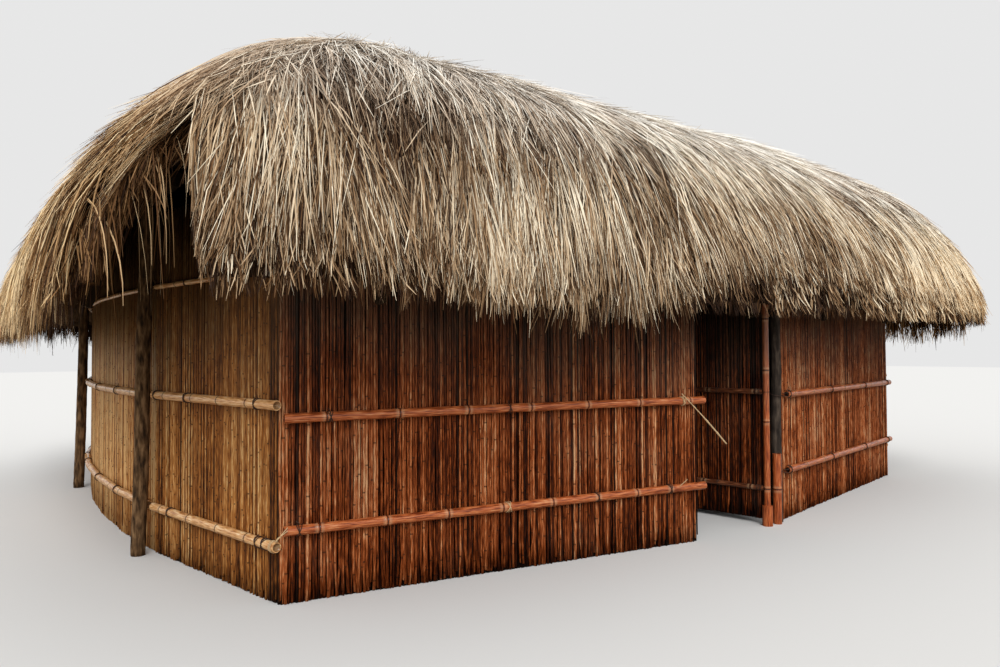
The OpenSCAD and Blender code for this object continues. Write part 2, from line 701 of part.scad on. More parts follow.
// Thatch
module thatch_front() { color(GRASS) thatch_side(270, -notch_front_angle, 0); }
module thatch_rear() { color(GRASS) thatch_side(90); }
module thatch_left() { color(GRASS) thatch_side(180, 0, -notch_side_angle, 1); }
module thatch_right() { color(GRASS) thatch_side(0, 0, 0, 1); }
module thatch_ridge() { color(GRASS) thatch_cap(); }

front_wall_left();
front_wall_right();
left_wall_front();
left_wall_middle();
left_wall_rear();
right_wall_front();
right_wall_middle();
right_wall_rear();
rear_wall_left();
rear_wall_middle();
rear_wall_right();
front_rails();
rear_rails();
left_end_rails();
right_end_rails();
inner_rails();
corner_posts();
door_post();
jamb_post();
jamb_stub();
lintel();
pivot_socket();
pivot_loop();
left_end_posts();
right_end_posts();
front_bearer();
rear_bearer();
end_bearers();
purlins();
ridge_pole();
eave_rafters();
rafters();
upper_rafters();
hip_rafters();
long_battens();
end_battens();
thatch_front();
thatch_rear();
thatch_left();
thatch_right();
thatch_ridge();
door_leaf();
door_rails();
pivot_pole();
tie_stick();
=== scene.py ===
"""Looks of the thatched reed house: reeds, bamboo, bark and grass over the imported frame, in metres."""
import math

import bpy
import numpy as np
from mathutils import Matrix, Vector


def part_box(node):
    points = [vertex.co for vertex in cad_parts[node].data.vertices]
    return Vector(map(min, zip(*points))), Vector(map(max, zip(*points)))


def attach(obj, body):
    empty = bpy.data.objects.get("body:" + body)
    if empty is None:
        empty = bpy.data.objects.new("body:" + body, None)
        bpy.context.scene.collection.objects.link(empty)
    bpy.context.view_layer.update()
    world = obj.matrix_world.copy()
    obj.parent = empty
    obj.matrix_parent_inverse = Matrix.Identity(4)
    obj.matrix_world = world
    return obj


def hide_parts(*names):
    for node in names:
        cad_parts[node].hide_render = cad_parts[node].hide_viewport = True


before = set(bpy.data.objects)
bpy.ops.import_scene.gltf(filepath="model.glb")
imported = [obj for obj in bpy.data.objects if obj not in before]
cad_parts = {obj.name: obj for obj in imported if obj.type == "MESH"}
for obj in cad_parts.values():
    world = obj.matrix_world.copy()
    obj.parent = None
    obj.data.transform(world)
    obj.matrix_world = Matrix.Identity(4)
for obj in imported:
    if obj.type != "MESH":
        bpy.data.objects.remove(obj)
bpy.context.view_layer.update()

# Sizes of the walls, as in the part's source
HOUSE_L, HOUSE_W = 7.34, 6.80
FRONT_BULGE, END_BULGE, END_CROWN, END_BEND = 0.56, 0.34, 0.12, 1.70
DOOR_LEFT, DOOR_RIGHT = 0.53, 0.61
WALL_T = 0.040
WALL_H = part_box("left_wall_front")[1][2]
DOOR_WALL_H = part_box("rear_wall_middle")[1][2]
RAIL_R, TOP_RAIL_R = 0.031, 0.019
LOW_Z, MID_Z, END_LOW_Z, END_MID_Z, TOP_Z = 0.440, 1.105, 0.354, 1.184, 1.990
RAIL_PAST, JAMB_SHORT, CORNER_PAST, CORNER_SHORT = 0.040, 0.050, 0.030, 0.025
POST_R, SEAT = 0.050, 0.0002
INNER_SHORT = WALL_T + 3 * POST_R

# Sizes of the roof, as in the part's source
ROOF_A, ROOF_B, RIDGE_HALF, ROOF_TOP, EAVE_Z, FRINGE_Z = 4.92, 4.44, 0.50, 4.22, 1.85, 1.70
FULLNESS, ROOF_CORNER, EAVE_T, RIDGE_T = 2.15, 1.30, 0.20, 0.36
FRAME_ANGLES = (0, 22, 50, 90)
NOTCH_TOP, NOTCH_FRONT, NOTCH_SIDE = 2.80, 15, 9
END_IN, END_DOWN = 0.07, 0.20

# Sizes of the door, as in the part's source
PIVOT, OPEN_ANGLE, POLE_R = (0.35, -3.99), math.radians(100), 0.027
LEAF_RAIL_R, LEAF_RAIL_ZS, LEAF_W, LEAF_T = 0.022, (0.314, 1.137), 0.815, 0.034
LEAF_GAP, LEAF_Z0, LEAF_Z1 = 0.04925, 0.045, 1.924


# Meshes from arrays
def linked(name, data):
    """A new object in the scene."""
    obj = bpy.data.objects.new(name, data)
    bpy.context.scene.collection.objects.link(obj)
    return obj


def mesh_object(name, verts, faces, body, material, replaces=(), attributes=None, smooth=True):
    """One piece of the model, from points and a list of arrays of faces with equal corner counts."""
    mesh = bpy.data.meshes.new(name)
    loops = np.concatenate([g.ravel() for g in faces])
    sizes = np.concatenate([np.full(len(g), g.shape[1]) for g in faces])
    starts = np.concatenate([[0], np.cumsum(sizes)[:-1]])
    mesh.vertices.add(len(verts))
    mesh.vertices.foreach_set("co", np.asarray(verts, dtype=np.float32).ravel())
    mesh.loops.add(len(loops))
    mesh.loops.foreach_set("vertex_index", loops.astype(np.int32))
    mesh.polygons.add(len(sizes))
    mesh.polygons.foreach_set("loop_start", starts.astype(np.int32))
    mesh.polygons.foreach_set("loop_total", sizes.astype(np.int32))
    mesh.update(calc_edges=True)
    mesh.polygons.foreach_set("use_smooth", np.full(len(sizes), smooth))
    for key, values in (attributes or {}).items():
        layer = mesh.attributes.new(key, "FLOAT", "POINT")
        layer.data.foreach_set("value", np.asarray(values, dtype=np.float32))
    mesh.materials.append(material)
    obj = linked(name, mesh)
    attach(obj, body)
    if replaces:
        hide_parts(*replaces)


def joined(layers):
    """Several (points, faces, attribute, ...) as one, with its attributes in a list."""
    offset = 0
    quads, tris = [], []
    for layer in layers:
        for g in layer[1]:
            (quads if g.shape[1] == 4 else tris).append(g + offset)
        offset += len(layer[0])
    faces = [np.concatenate(g) for g in (quads, tris) if g]
    verts, *attributes = [np.concatenate(a) for a in zip(*[(layer[0], *layer[2:]) for layer in layers])]
    return verts, faces, attributes


def unit(v):
    return v / np.maximum(np.linalg.norm(v, axis=-1, keepdims=True), 1e-9)


def angles(n):
    return np.arange(n) * 2 * np.pi / n


def lengths_along(path):
    """Lengths from a path's start to each of its points."""
    return np.concatenate([[0], np.cumsum(np.linalg.norm(np.diff(path, axis=0), axis=1))])


def points_at(path, start, s):
    """Points of a path at lengths s along it, where its own points lie at lengths start."""
    return np.stack([np.interp(s, start, path[:, a]) for a in range(3)], -1)


def at_length(path, s):
    """Point and direction of a path at a length along it."""
    path = np.asarray(path)
    start = lengths_along(path)
    k = min(np.searchsorted(start, s, side="right"), len(path) - 1)
    return points_at(path, start, s), unit(path[k] - path[k - 1])


def part_of(path, a, b):
    """The stretch of a path between two lengths along it."""
    path = np.asarray(path)
    start = lengths_along(path)
    return points_at(path, start, [a, *[s for s in start if a + 0.001 < s < b - 0.001], b])


def rings_round(paths, radii, sides, along=None):
    """Points of rings round paths (n, k, 3) with radii (n, k), as (n, k, sides, 3)."""
    if along is None:
        along = unit(np.gradient(paths, axis=1))
    ref = np.where(np.abs(along[:, :1, 2:3]) > 0.8, [[[1.0, 0, 0]]], [[[0, 0, 1.0]]])
    side = unit(np.cross(along, np.broadcast_to(ref, along.shape)))
    up = np.cross(side, along)
    turn = angles(sides)
    ring = side[:, :, None] * np.cos(turn)[:, None] + up[:, :, None] * np.sin(turn)[:, None]
    return paths[:, :, None] + ring * radii[:, :, None, None]


def skin(n, k, sides):
    """Faces of n closed tubes of k rings each."""
    base = (np.arange(n) * k * sides)[:, None, None]
    row = (np.arange(k - 1) * sides)[:, None]
    i = np.arange(sides)
    a, b = base + row + i, base + row + (i + 1) % sides
    quads = np.stack([a, a + sides, b + sides, b], -1).reshape(-1, 4)
    fan = np.arange(1, sides - 1)
    first = base[:, 0] + 0 * fan
    low = np.stack([first, base[:, 0] + fan, base[:, 0] + fan + 1], -1).reshape(-1, 3)
    return [quads, low, low[:, [0, 2, 1]] + (k - 1) * sides]


def tubes(paths, radii, sides):
    n, k, _ = paths.shape
    return rings_round(paths, radii, sides).reshape(-1, 3), skin(n, k, sides)


def ribbons(paths, widths, flat):
    """Flat blades along paths (n, k, 3), of widths (n, k), spread along flat (n, k, 3)."""
    n, k, _ = paths.shape
    half = flat * widths[:, :, None] / 2
    verts = np.stack([paths - half, paths + half], 2).reshape(-1, 3)
    base = (np.arange(n) * k * 2)[:, None] + np.arange(k - 1) * 2
    return verts, [np.stack([base, base + 1, base + 3, base + 2], -1).reshape(-1, 4)]


def waves(x, seed, scale, octaves=3):
    """Soft noise of one variable, from about -1 to 1."""
    g = np.random.default_rng(seed)
    out = np.zeros_like(x, dtype=float)
    for o in range(octaves):
        for _ in range(3):
            out += np.sin(x * scale * 2 ** o * g.uniform(0.7, 1.3) + g.uniform(0, 6.28)) / 3 / 1.6 ** o
    return out


def patches(x, y, seed, scale):
    """Soft noise of two variables, from about -1 to 1."""
    g = np.random.default_rng(seed)
    out = np.zeros_like(x, dtype=float)
    for o in range(3):
        for _ in range(5):
            a = g.uniform(0, 6.28)
            run = (x * math.cos(a) + y * math.sin(a)) * scale * 2 ** o * g.uniform(0.7, 1.3)
            out += np.sin(run + g.uniform(0, 6.28)) / 3.5 / 1.5 ** o
    return out


# Shader nodes
class Nodes:
    """The node tree of a material or the world, with short ways to add to it."""

    def __init__(self, owner):
        owner.use_nodes = True
        self.tree = owner.node_tree

    def add(self, kind, **values):
        n = self.tree.nodes.new(kind)
        for key, value in values.items():
            if key in n.inputs:
                n.inputs[key].default_value = value
            else:
                setattr(n, key, value)
        return n

    def plug(self, socket, value):
        if isinstance(value, bpy.types.NodeSocket):
            self.tree.links.new(value, socket)
        elif socket.type == "RGBA":
            socket.default_value = (*value, 1)
        else:
            socket.default_value = value

    def attribute(self, name):
        return self.add("ShaderNodeAttribute", attribute_name=name).outputs["Fac"]

    def is_camera_ray(self):
        return self.add("ShaderNodeLightPath").outputs["Is Camera Ray"]

    def ramp(self, fac, stops):
        r = self.add("ShaderNodeValToRGB")
        els = r.color_ramp.elements
        while len(els) < len(stops):
            els.new(0.5)
        for e, (pos, col) in zip(els, stops):
            e.position = pos
            e.color = (*col, 1)
        self.plug(r.inputs["Fac"], fac)
        return r.outputs["Color"]

    def mix(self, fac, a, b):
        m = self.add("ShaderNodeMix", data_type="RGBA")
        for socket, value in zip([i for i in m.inputs if i.enabled], (fac, a, b)):
            self.plug(socket, value)
        return [o for o in m.outputs if o.enabled][0]

    def maths(self, op, a, b=0.0, c=0.0, clamp=False):
        m = self.add("ShaderNodeMath", operation=op, use_clamp=clamp)
        for socket, value in zip(m.inputs, (a, b, c)):
            self.plug(socket, value)
        return m.outputs[0]

    def times(self, a, b, clamp=False):
        return self.maths("MULTIPLY", a, b, clamp=clamp)

    def plus(self, first, *others):
        for other in others:
            first = self.maths("ADD", first, other)
        return first

    def line(self, value, slope, start, clamp=False):
        return self.maths("MULTIPLY_ADD", value, slope, start, clamp=clamp)

    def noise(self, scale, stretch=(1, 1, 1), detail=3.0, shift=None):
        """Noise over the object's own coordinates, shifted by a socket where one is given."""
        mapping = self.add("ShaderNodeMapping", Scale=stretch)
        self.plug(mapping.inputs["Vector"], self.add("ShaderNodeTexCoord").outputs["Object"])
        if shift:
            self.plug(mapping.inputs["Location"], shift)
        n = self.add("ShaderNodeTexNoise", Scale=scale, Detail=detail)
        self.plug(n.inputs["Vector"], mapping.outputs["Vector"])
        return n.outputs[0]

    def place(self, axis):
        """A surface point's place along an axis of the object."""
        split = self.add("ShaderNodeSeparateXYZ")
        self.plug(split.inputs[0], self.add("ShaderNodeTexCoord").outputs["Object"])
        return split.outputs[axis]

    def between(self, value, low, high):
        """0 at low, rising to 1 at high."""
        n = self.add("ShaderNodeMapRange")
        for key, v in (("Value", value), ("From Min", low), ("From Max", high)):
            self.plug(n.inputs[key], v)
        return n.outputs[0]

    def surface(self, colour, rough, shine, relief=None, strength=0.0, distance=0.002):
        """Sets the material's shader, with a bump where a relief is given."""
        bsdf = self.tree.nodes["Principled BSDF"]
        self.plug(bsdf.inputs["Base Color"], colour)
        bsdf.inputs["Roughness"].default_value = rough
        bsdf.inputs["Specular IOR Level"].default_value = shine
        if relief:
            b = self.add("ShaderNodeBump", Strength=strength, Distance=distance)
            self.plug(b.inputs["Height"], relief)
            self.plug(bsdf.inputs["Normal"], b.outputs[0])


def material(name):
    mat = bpy.data.materials.new(name)
    return mat, Nodes(mat)


def tinted(stops, tint):
    """Stops of a colour ramp with their colours multiplied by a tint."""
    return [(at, tuple(c * k for c, k in zip(col, tint))) for at, col in stops]


# Materials: joints of reeds and the most that smoke-blackening with painted shade under the eave darkens
# them, smoke-blackening with painted roof shade on bamboo, bloom and dark rings at its nodes, whose colour
# also paints shade inside its hollow ends, brown grass, painted shade at grass roots, and grass whitened by
# bleaching and a painted sky sheen
REED_JOINT_GAP, REED_JOINT, REED_MOST_SOOT_AND_SHADE = 0.43, (0.025, 0.010, 0.005), 0.72
BAMBOO_SOOT_AND_SHADE, BLOOM, NODE_RING_AND_HOLLOW_SHADE = (0.16, 0.080, 0.045), (0.62, 0.42, 0.24), (0.035, 0.014, 0.008)
BROWNER, GRASS_ROOT_SHADE = (0.95, 0.81, 0.60), (0.060, 0.030, 0.012)
BLEACHED_AND_SHEEN_STOPS = [(0.0, (0.045, 0.030, 0.019)), (0.35, (0.37, 0.30, 0.235)),
                  (0.65, (0.94, 0.86, 0.76)), (1.0, (1.0, 0.98, 0.93))]


def reed_material(name, stops, soot_and_shade):
    """Reeds: a tone for each, streaks, blotches and joints, darker feet, and towards the eaves
    smoke-blackening with painted shade under the roof.
    """
    mat, nodes = material(name)
    phase, z = nodes.attribute("phase"), nodes.place("Z")
    streaks = nodes.noise(1.0, (170, 170, 13), 7.0, nodes.times(phase, 400.0))
    blotches = nodes.noise(1.0, (2.6, 2.6, 1.9), 6.0)
    feet = nodes.times(nodes.between(z, 0.40, 0.0), -0.12)
    tone = nodes.plus(nodes.line(streaks, 1.5, -0.75), nodes.line(blotches, 0.8, -0.4), feet,
                      nodes.attribute("tone"))
    joint = nodes.maths("FRACT", nodes.maths("DIVIDE", nodes.plus(z, phase), REED_JOINT_GAP))
    joint = nodes.maths("COMPARE", joint, 0.5, 0.012)
    col = nodes.mix(nodes.times(joint, 0.7), nodes.ramp(tone, stops), REED_JOINT)
    # Smoke-blackening and painted shade under the eave: darker from 1.05 m up, in blotches
    soot_and_shade_share = nodes.plus(nodes.between(z, 1.05, 1.95), nodes.line(blotches, 1.6, -0.8))
    soot_and_shade_share = nodes.maths("MINIMUM", nodes.times(soot_and_shade_share, 0.8, clamp=True), REED_MOST_SOOT_AND_SHADE)
    nodes.surface(nodes.mix(soot_and_shade_share, col, soot_and_shade), 0.5, 0.1, streaks, 0.5)
    return mat


def bamboo_material(name, stops, grain, rough=0.28, shine=0.4, soot_and_shade=0.0):
    """Bamboo: flecked along its grain, dark rings at its nodes, whose colour also paints shade inside its
    hollow cut ends, a pale bloom beside them, and high up smoke-blackening with painted shade under the
    roof.
    """
    mat, nodes = material(name)
    col = nodes.ramp(nodes.noise(1.0, grain, 6.0), stops)
    if soot_and_shade:
        # Smoke-blackening and painted shade under the roof, from 0.9 m up, in patches
        soot_and_shade_share = nodes.plus(nodes.between(nodes.place("Z"), 0.9, 1.6), nodes.noise(3.0, detail=5.0))
        soot_and_shade_share = nodes.maths("SUBTRACT", soot_and_shade_share, 0.5, clamp=True)
        col = nodes.mix(nodes.times(soot_and_shade_share, soot_and_shade), col, BAMBOO_SOOT_AND_SHADE)
    # The ring attribute darkens the nodes, and paints shade inside the hollow ends
    ring = nodes.attribute("ring")
    col = nodes.mix(nodes.times(ring, -0.6, clamp=True), col, BLOOM)
    col = nodes.mix(nodes.times(ring, 0.92, clamp=True), col, NODE_RING_AND_HOLLOW_SHADE)
    nodes.surface(col, rough, shine, nodes.noise(60.0), 0.2)
    return mat


def bark_material(name, stops, shine=0.15):
    mat, nodes = material(name)
    col = nodes.ramp(nodes.noise(12.0, (3, 3, 0.7), 6.0), stops)
    nodes.surface(col, 0.8, shine, nodes.noise(40.0, (3, 3, 0.8), 6.0), 0.8, 0.005)
    return mat


def grass_material(name, stops):
    """Dry grass: a tone for each blade, painted shade at its roots, brown at the left end and low down, and
    paler and whiter high up from bleaching and a painted sky sheen.
    """
    mat, nodes = material(name)
    x, y, z = (nodes.place(axis) for axis in "XYZ")
    # From 2.6 m up the grass is paler and, towards the front, whiter: partly bleaching, partly a painted sky
    # sheen
    high = nodes.between(z, 2.6, 3.5)
    tone = nodes.plus(nodes.attribute("tone"), nodes.times(high, 0.20))
    leftwards = nodes.maths("DIVIDE", x, -ROOF_A)
    sideways = nodes.maths("DIVIDE", nodes.maths("ABSOLUTE", y), ROOF_B)
    left = nodes.line(nodes.maths("SUBTRACT", leftwards, sideways), 3.0, 0.5, clamp=True)
    low = nodes.times(nodes.between(z, 3.0, 1.9), nodes.line(nodes.between(x, 0.0, 4.0), 0.55, 0.25))
    brown = nodes.ramp(tone, tinted(stops, BROWNER))
    col = nodes.mix(nodes.maths("MAXIMUM", left, low), nodes.ramp(tone, stops), brown)
    front_bleach_and_sheen = nodes.line(nodes.between(y, 1.0, -1.0), 0.5, 0.3)
    bleach_and_sheen = nodes.times(high, nodes.times(front_bleach_and_sheen, nodes.line(left, -0.7, 1.0)))
    col = nodes.mix(bleach_and_sheen, col, nodes.ramp(tone, BLEACHED_AND_SHEEN_STOPS))
    # Blades darken towards their roots as painted shade under the blades above
    col = nodes.mix(nodes.times(nodes.attribute("root_shade"), 0.85, clamp=True), col, GRASS_ROOT_SHADE)
    nodes.surface(col, 0.6, 0.15, nodes.noise(300.0), 0.1)
    return mat


def plain_material(name, colour, rough):
    mat, nodes = material(name)
    col = nodes.mix(nodes.noise(80.0), tuple(c * 0.55 for c in colour), tuple(c * 1.4 for c in colour))
    nodes.surface(col, rough, 0.3, nodes.noise(240.0), 0.3)
    return mat


LYING, STANDING = (11, 11, 150), (150, 150, 11)
# The last colour of each reed material is that of smoke-blackening and painted shade under the eave
RED_REED = reed_material("red_reed", [
    (0.0, (0.007, 0.002, 0.001)), (0.25, (0.060, 0.010, 0.001)), (0.5, (0.21, 0.044, 0.008)),
    (0.75, (0.44, 0.135, 0.042)), (1.0, (0.72, 0.40, 0.20))], (0.052, 0.042, 0.032))
GOLD_REED = reed_material("golden_reed", [
    (0.0, (0.014, 0.005, 0.002)), (0.25, (0.10, 0.029, 0.006)), (0.5, (0.27, 0.092, 0.018)),
    (0.75, (0.48, 0.21, 0.055)), (1.0, (0.76, 0.47, 0.20))], (0.085, 0.046, 0.021))
RED_STOPS = [(0.36, (0.16, 0.030, 0.008)), (0.5, (0.42, 0.102, 0.028)),
             (0.62, (0.54, 0.17, 0.058)), (0.76, (0.74, 0.40, 0.19))]
BAMBOO = bamboo_material("bamboo_red", RED_STOPS, LYING)
# The pole is greyer and darker high up: smoke-blackening and painted shade under the roof
POLE_BAMBOO = bamboo_material("bamboo_pole", tinted(RED_STOPS, (0.92, 0.80, 0.70)), STANDING, soot_and_shade=0.6)
# A darker copy of the red bamboo, painted as shade in the doorway, for the door's rails
SHADED_BAMBOO = bamboo_material("bamboo_painted_shade", [
    (0.36, (0.035, 0.012, 0.006)), (0.5, (0.12, 0.036, 0.015)),
    (0.62, (0.22, 0.075, 0.032)), (0.76, (0.40, 0.19, 0.10))], LYING)
PALE_BAMBOO = bamboo_material("bamboo_pale", [
    (0.36, (0.40, 0.16, 0.050)), (0.5, (0.68, 0.35, 0.135)),
    (0.60, (0.80, 0.50, 0.24)), (0.72, (0.92, 0.72, 0.46))], LYING)
INNER_BAMBOO = bamboo_material("bamboo_inner", [
    (0.3, (0.10, 0.045, 0.02)), (0.7, (0.22, 0.10, 0.045))], LYING, 0.6, 0.2)
BARK = bark_material("bark", [
    (0.35, (0.024, 0.013, 0.006)), (0.5, (0.105, 0.056, 0.024)), (0.68, (0.26, 0.155, 0.075))])
CHARRED = bark_material("charred", [
    (0.3, (0.012, 0.009, 0.007)), (0.5, (0.040, 0.029, 0.022)), (0.7, (0.10, 0.075, 0.055))])
# The roof's frame in near black, painted as the shade under the thatch
SHADED_FRAME_WOOD = bark_material("frame_wood_painted_shade", [
    (0.3, (0.010, 0.007, 0.004)), (0.6, (0.028, 0.018, 0.010)), (0.8, (0.06, 0.038, 0.022))], 0.03)
# The body under the loose blades, near black as painted shade in the gaps between them
SHADED_UNDER_GRASS = bark_material("under_grass_painted_shade", [
    (0.3, (0.008, 0.004, 0.002)), (0.7, (0.028, 0.015, 0.007))], 0.05)
PACKED_GRASS = bark_material("packed_grass", [
    (0.3, (0.05, 0.030, 0.015)), (0.7, (0.16, 0.105, 0.060))], 0.05)
GRASS = grass_material("grass", [
    (0.0, (0.026, 0.010, 0.003)), (0.25, (0.14, 0.069, 0.027)), (0.5, (0.39, 0.25, 0.135)),
    (0.75, (0.72, 0.56, 0.375)), (1.0, (0.98, 0.89, 0.71))])
WIRE = plain_material("tie_wire", (0.050, 0.024, 0.015), 0.5)
RATTAN = plain_material("rattan", (0.60, 0.42, 0.23), 0.6)


# Plan of the walls
def crown(side):
    """Points of an end wall's bent middle."""
    return [(side * (HOUSE_L / 2 + END_BULGE + END_CROWN * (1 - f * f)), f * (HOUSE_W / 2 - END_BEND))
            for f in (-1, -0.5, 0, 0.5, 1)]


HL, HW = HOUSE_L / 2, HOUSE_W / 2
OUTLINE = np.array([
    (-HL, -HW), (-DOOR_LEFT, -HW - FRONT_BULGE), (DOOR_RIGHT, -HW - FRONT_BULGE), (HL, -HW), *crown(1),
    (HL, HW), (DOOR_RIGHT, HW + FRONT_BULGE), (-DOOR_LEFT, HW + FRONT_BULGE), (-HL, HW), *crown(-1)[::-1]])
N_OUT = len(OUTLINE)
# Outline points from which and to which each wall runs, and those where the walls are highest
WALLS = {
    "front_wall_left": (0, 1), "front_wall_right": (2, 3), "right_wall_front": (3, 4),
    "right_wall_middle": (4, 8), "right_wall_rear": (8, 9), "rear_wall_right": (9, 10),
    "rear_wall_middle": (10, 11), "rear_wall_left": (11, 12), "left_wall_rear": (12, 13),
    "left_wall_middle": (13, 17), "left_wall_front": (17, 18)}
HIGHEST = (1, 2, 10, 11)


def outline_points(i, j):
    return OUTLINE[[k % N_OUT for k in range(i, j + 1)]]


def along_outline(i, j, s, depth):
    """Points at lengths s along the outer faces from outline point i to j, moved inwards by depth."""
    pts = outline_points(i, j)
    start = lengths_along(pts)
    k = np.clip(np.searchsorted(start, s, side="right") - 1, 0, len(pts) - 2)
    d = unit(np.diff(pts, axis=0))[k]
    inwards = np.stack([-d[:, 1], d[:, 0]], 1)
    return pts[k] + d * (s - start[k])[:, None] + inwards * depth[:, None], d, inwards


# Reeds: mean widths and gap, and heights of a reed's rings as shares with its sway there
REED_W, FAR_REED_W, REED_GAP, WIDTH_VARY = 0.0150, 0.0200, 0.0009, 0.24
REED_SHARES = np.array([0.0, 0.07, 0.17, 0.31, 0.46, 0.68, 1.0])
REED_SWAY = np.array([0.0065, 0.0035, 0.0015, 0.0025, 0.0015, 0.0035, 0.005])
# Shares of missing, short and dark reeds and of wide gaps, and the last three's sizes
MISSING, SHORT, DARK, WIDE_GAPS = 0.012, 0.06, 0.10, 0.05
SHORT_BY, DARKER_BY, WIDE_GAP = (0.02, 0.06), 0.35, (0.002, 0.009)
# Tones of the outer reeds: mean, spread, slow waves and limits
REED_TONE, REED_TONE_VARY, REED_TONE_WAVES, REED_TONES = 0.50, 0.17, 0.06, (-0.1, 0.80)
# The layer behind: its depth, sway and tones, kept dark as painted shade in the gaps between the outer
# reeds, and how slim it is
BEHIND, BEHIND_SWAY, BEHIND_SHADED_TONES, BEHIND_R = 0.0285, 0.002, (-0.15, 0.30), 0.6
# Tones added to some walls' reeds; for the middle of the left wall this is painted light, from more sky
# light on that side
LIGHTER = {"left_wall_middle": 0.36, "front_wall_right": 0.07, "left_wall_front": 0.04}


def row_of_reeds(length, g, mean):
    """Middles and widths of reeds laid side by side along a length."""
    n = int(length / mean * 1.6)
    width = np.clip(g.normal(mean, WIDTH_VARY * mean, n), 0.5 * mean, 1.6 * mean)
    gap = g.exponential(REED_GAP, n) + np.where(g.random(n) < WIDE_GAPS, g.uniform(*WIDE_GAP, n), 0)
    s = np.cumsum(width + gap) - width / 2
    n = np.count_nonzero(s + width / 2 < length)
    return s[:n] * (length - 0.002) / (s[n - 1] + width[n - 1] / 2) + 0.001, width[:n]


def reeds(xy, d, inwards, z0, z1, radius, g, shares, sway, sides):
    """Upright reeds standing at xy, swaying a little along and across their wall."""
    n, k = len(xy), len(shares)
    z = z0[:, None] + (z1 - z0)[:, None] * shares
    off = g.normal(0, 1, (n, k, 1)) * sway[:, None] * d[:, None]
    off = off + np.abs(g.normal(0, 0.25, (n, k, 1))) * sway[:, None] * inwards[:, None]
    paths = np.concatenate([xy[:, None] + off, z[:, :, None]], -1)
    return tubes(paths, radius[:, None] * (1.04 - 0.16 * shares), sides)


def reed_layers(place, length, top_at, seed, near, z_foot=0.0):
    """Outer layer of a wall's reeds and the one behind; place gives points from lengths and depths."""
    g = np.random.default_rng(seed)
    s, width = row_of_reeds(length, g, REED_W if near else FAR_REED_W)
    keep = g.random(len(s)) > MISSING
    s, radius = s[keep], width[keep] / 2
    n = len(s)
    where = place(s, radius + np.abs(g.normal(0, 0.0015, n)))
    foot = z_foot + np.where(g.random(n) < SHORT, g.uniform(*SHORT_BY, n), g.exponential(0.010, n))
    step, sides = (1, 6) if near else (2, 5)
    shares, sway = REED_SHARES[::step], REED_SWAY[::step]
    v, f = reeds(*where, foot, top_at(s) - g.uniform(0, 0.04, n), radius, g, shares, sway, sides)
    tone = REED_TONE + g.normal(0, REED_TONE_VARY, n) + REED_TONE_WAVES * waves(s, seed, 5.0)
    tone = np.clip(np.where(g.random(n) < DARK, tone - DARKER_BY, tone), *REED_TONES)
    points = len(shares) * sides
    outer = v, f, np.repeat(tone, points), np.repeat(g.uniform(0, REED_JOINT_GAP, n), points)
    s, width = row_of_reeds(length, g, FAR_REED_W)
    n = len(s)
    where = place(s, np.full(n, BEHIND))
    shares, sway, sides = np.array([0.0, 1.0]), np.full(2, BEHIND_SWAY), 5
    v, f = reeds(*where, np.full(n, z_foot), top_at(s), BEHIND_R * width, g, shares, sway, sides)
    # Dark tones of the layer behind: painted shade in the gaps between the outer reeds
    tone, phase = g.uniform(*BEHIND_SHADED_TONES, n), g.uniform(0, REED_JOINT_GAP, n)
    return joined([outer, (v, f, np.repeat(tone, 2 * sides), np.repeat(phase, 2 * sides))])


def reed_wall(name, i, j):
    length = lengths_along(outline_points(i, j))[-1]
    h0, h1 = (DOOR_WALL_H if end in HIGHEST else WALL_H for end in (i, j))
    gold = name.startswith(("left", "right"))
    near = name.startswith("front") or name == "left_wall_front"
    place = lambda s, depth: along_outline(i, j, s, depth)
    top_at = lambda s: h0 + (h1 - h0) * s / length
    v, f, (tone, phase) = reed_layers(place, length, top_at, 11 + i, near)
    # Some walls' reeds are made paler by LIGHTER, the left wall's middle as painted light
    mesh_object("reeds_" + name, v, f, "house", GOLD_REED if gold else RED_REED, replaces=[name],
                attributes={"tone": tone + LIGHTER.get(name, 0.0), "phase": phase})


for wall, ends in WALLS.items():
    reed_wall(wall, *ends)


# Bamboo: distance between nodes, and the hollow of a cut end as a share of the radius and its depth
NODE_GAP = 0.44
CULM_WALL, CULM_DEPTH = 0.78, 0.045
# Shares of the radius between nodes, at bends and at ends
CULM_BEND, CULM_END = 0.965, 0.975
# Profile of a node: distance along, share of the radius and darkness
NODE_PROFILE = ((-0.035, 0.97, 0.0), (-0.011, 0.99, -0.6), (-0.005, 1.05, 0.3), (-0.001, 0.975, 1.0),
                (0.004, 0.975, 1.0), (0.008, 1.03, 0.3), (0.014, 1.0, -0.6), (0.035, 0.97, 0.0))


def culm_rows(start, total, nodes):
    """Lengths, shares of the radius and darkness of the rings of a culm's outer skin."""
    rows = [(0.0, CULM_END, 0.0), (total, CULM_END, 0.0)] + [(s, CULM_BEND, 0.0) for s in start[1:-1]]
    for s in nodes:
        if 0.04 < s < total - 0.04:
            rows += [(s + a, b, c) for a, b, c in NODE_PROFILE]
    return np.array(sorted(rows)).T


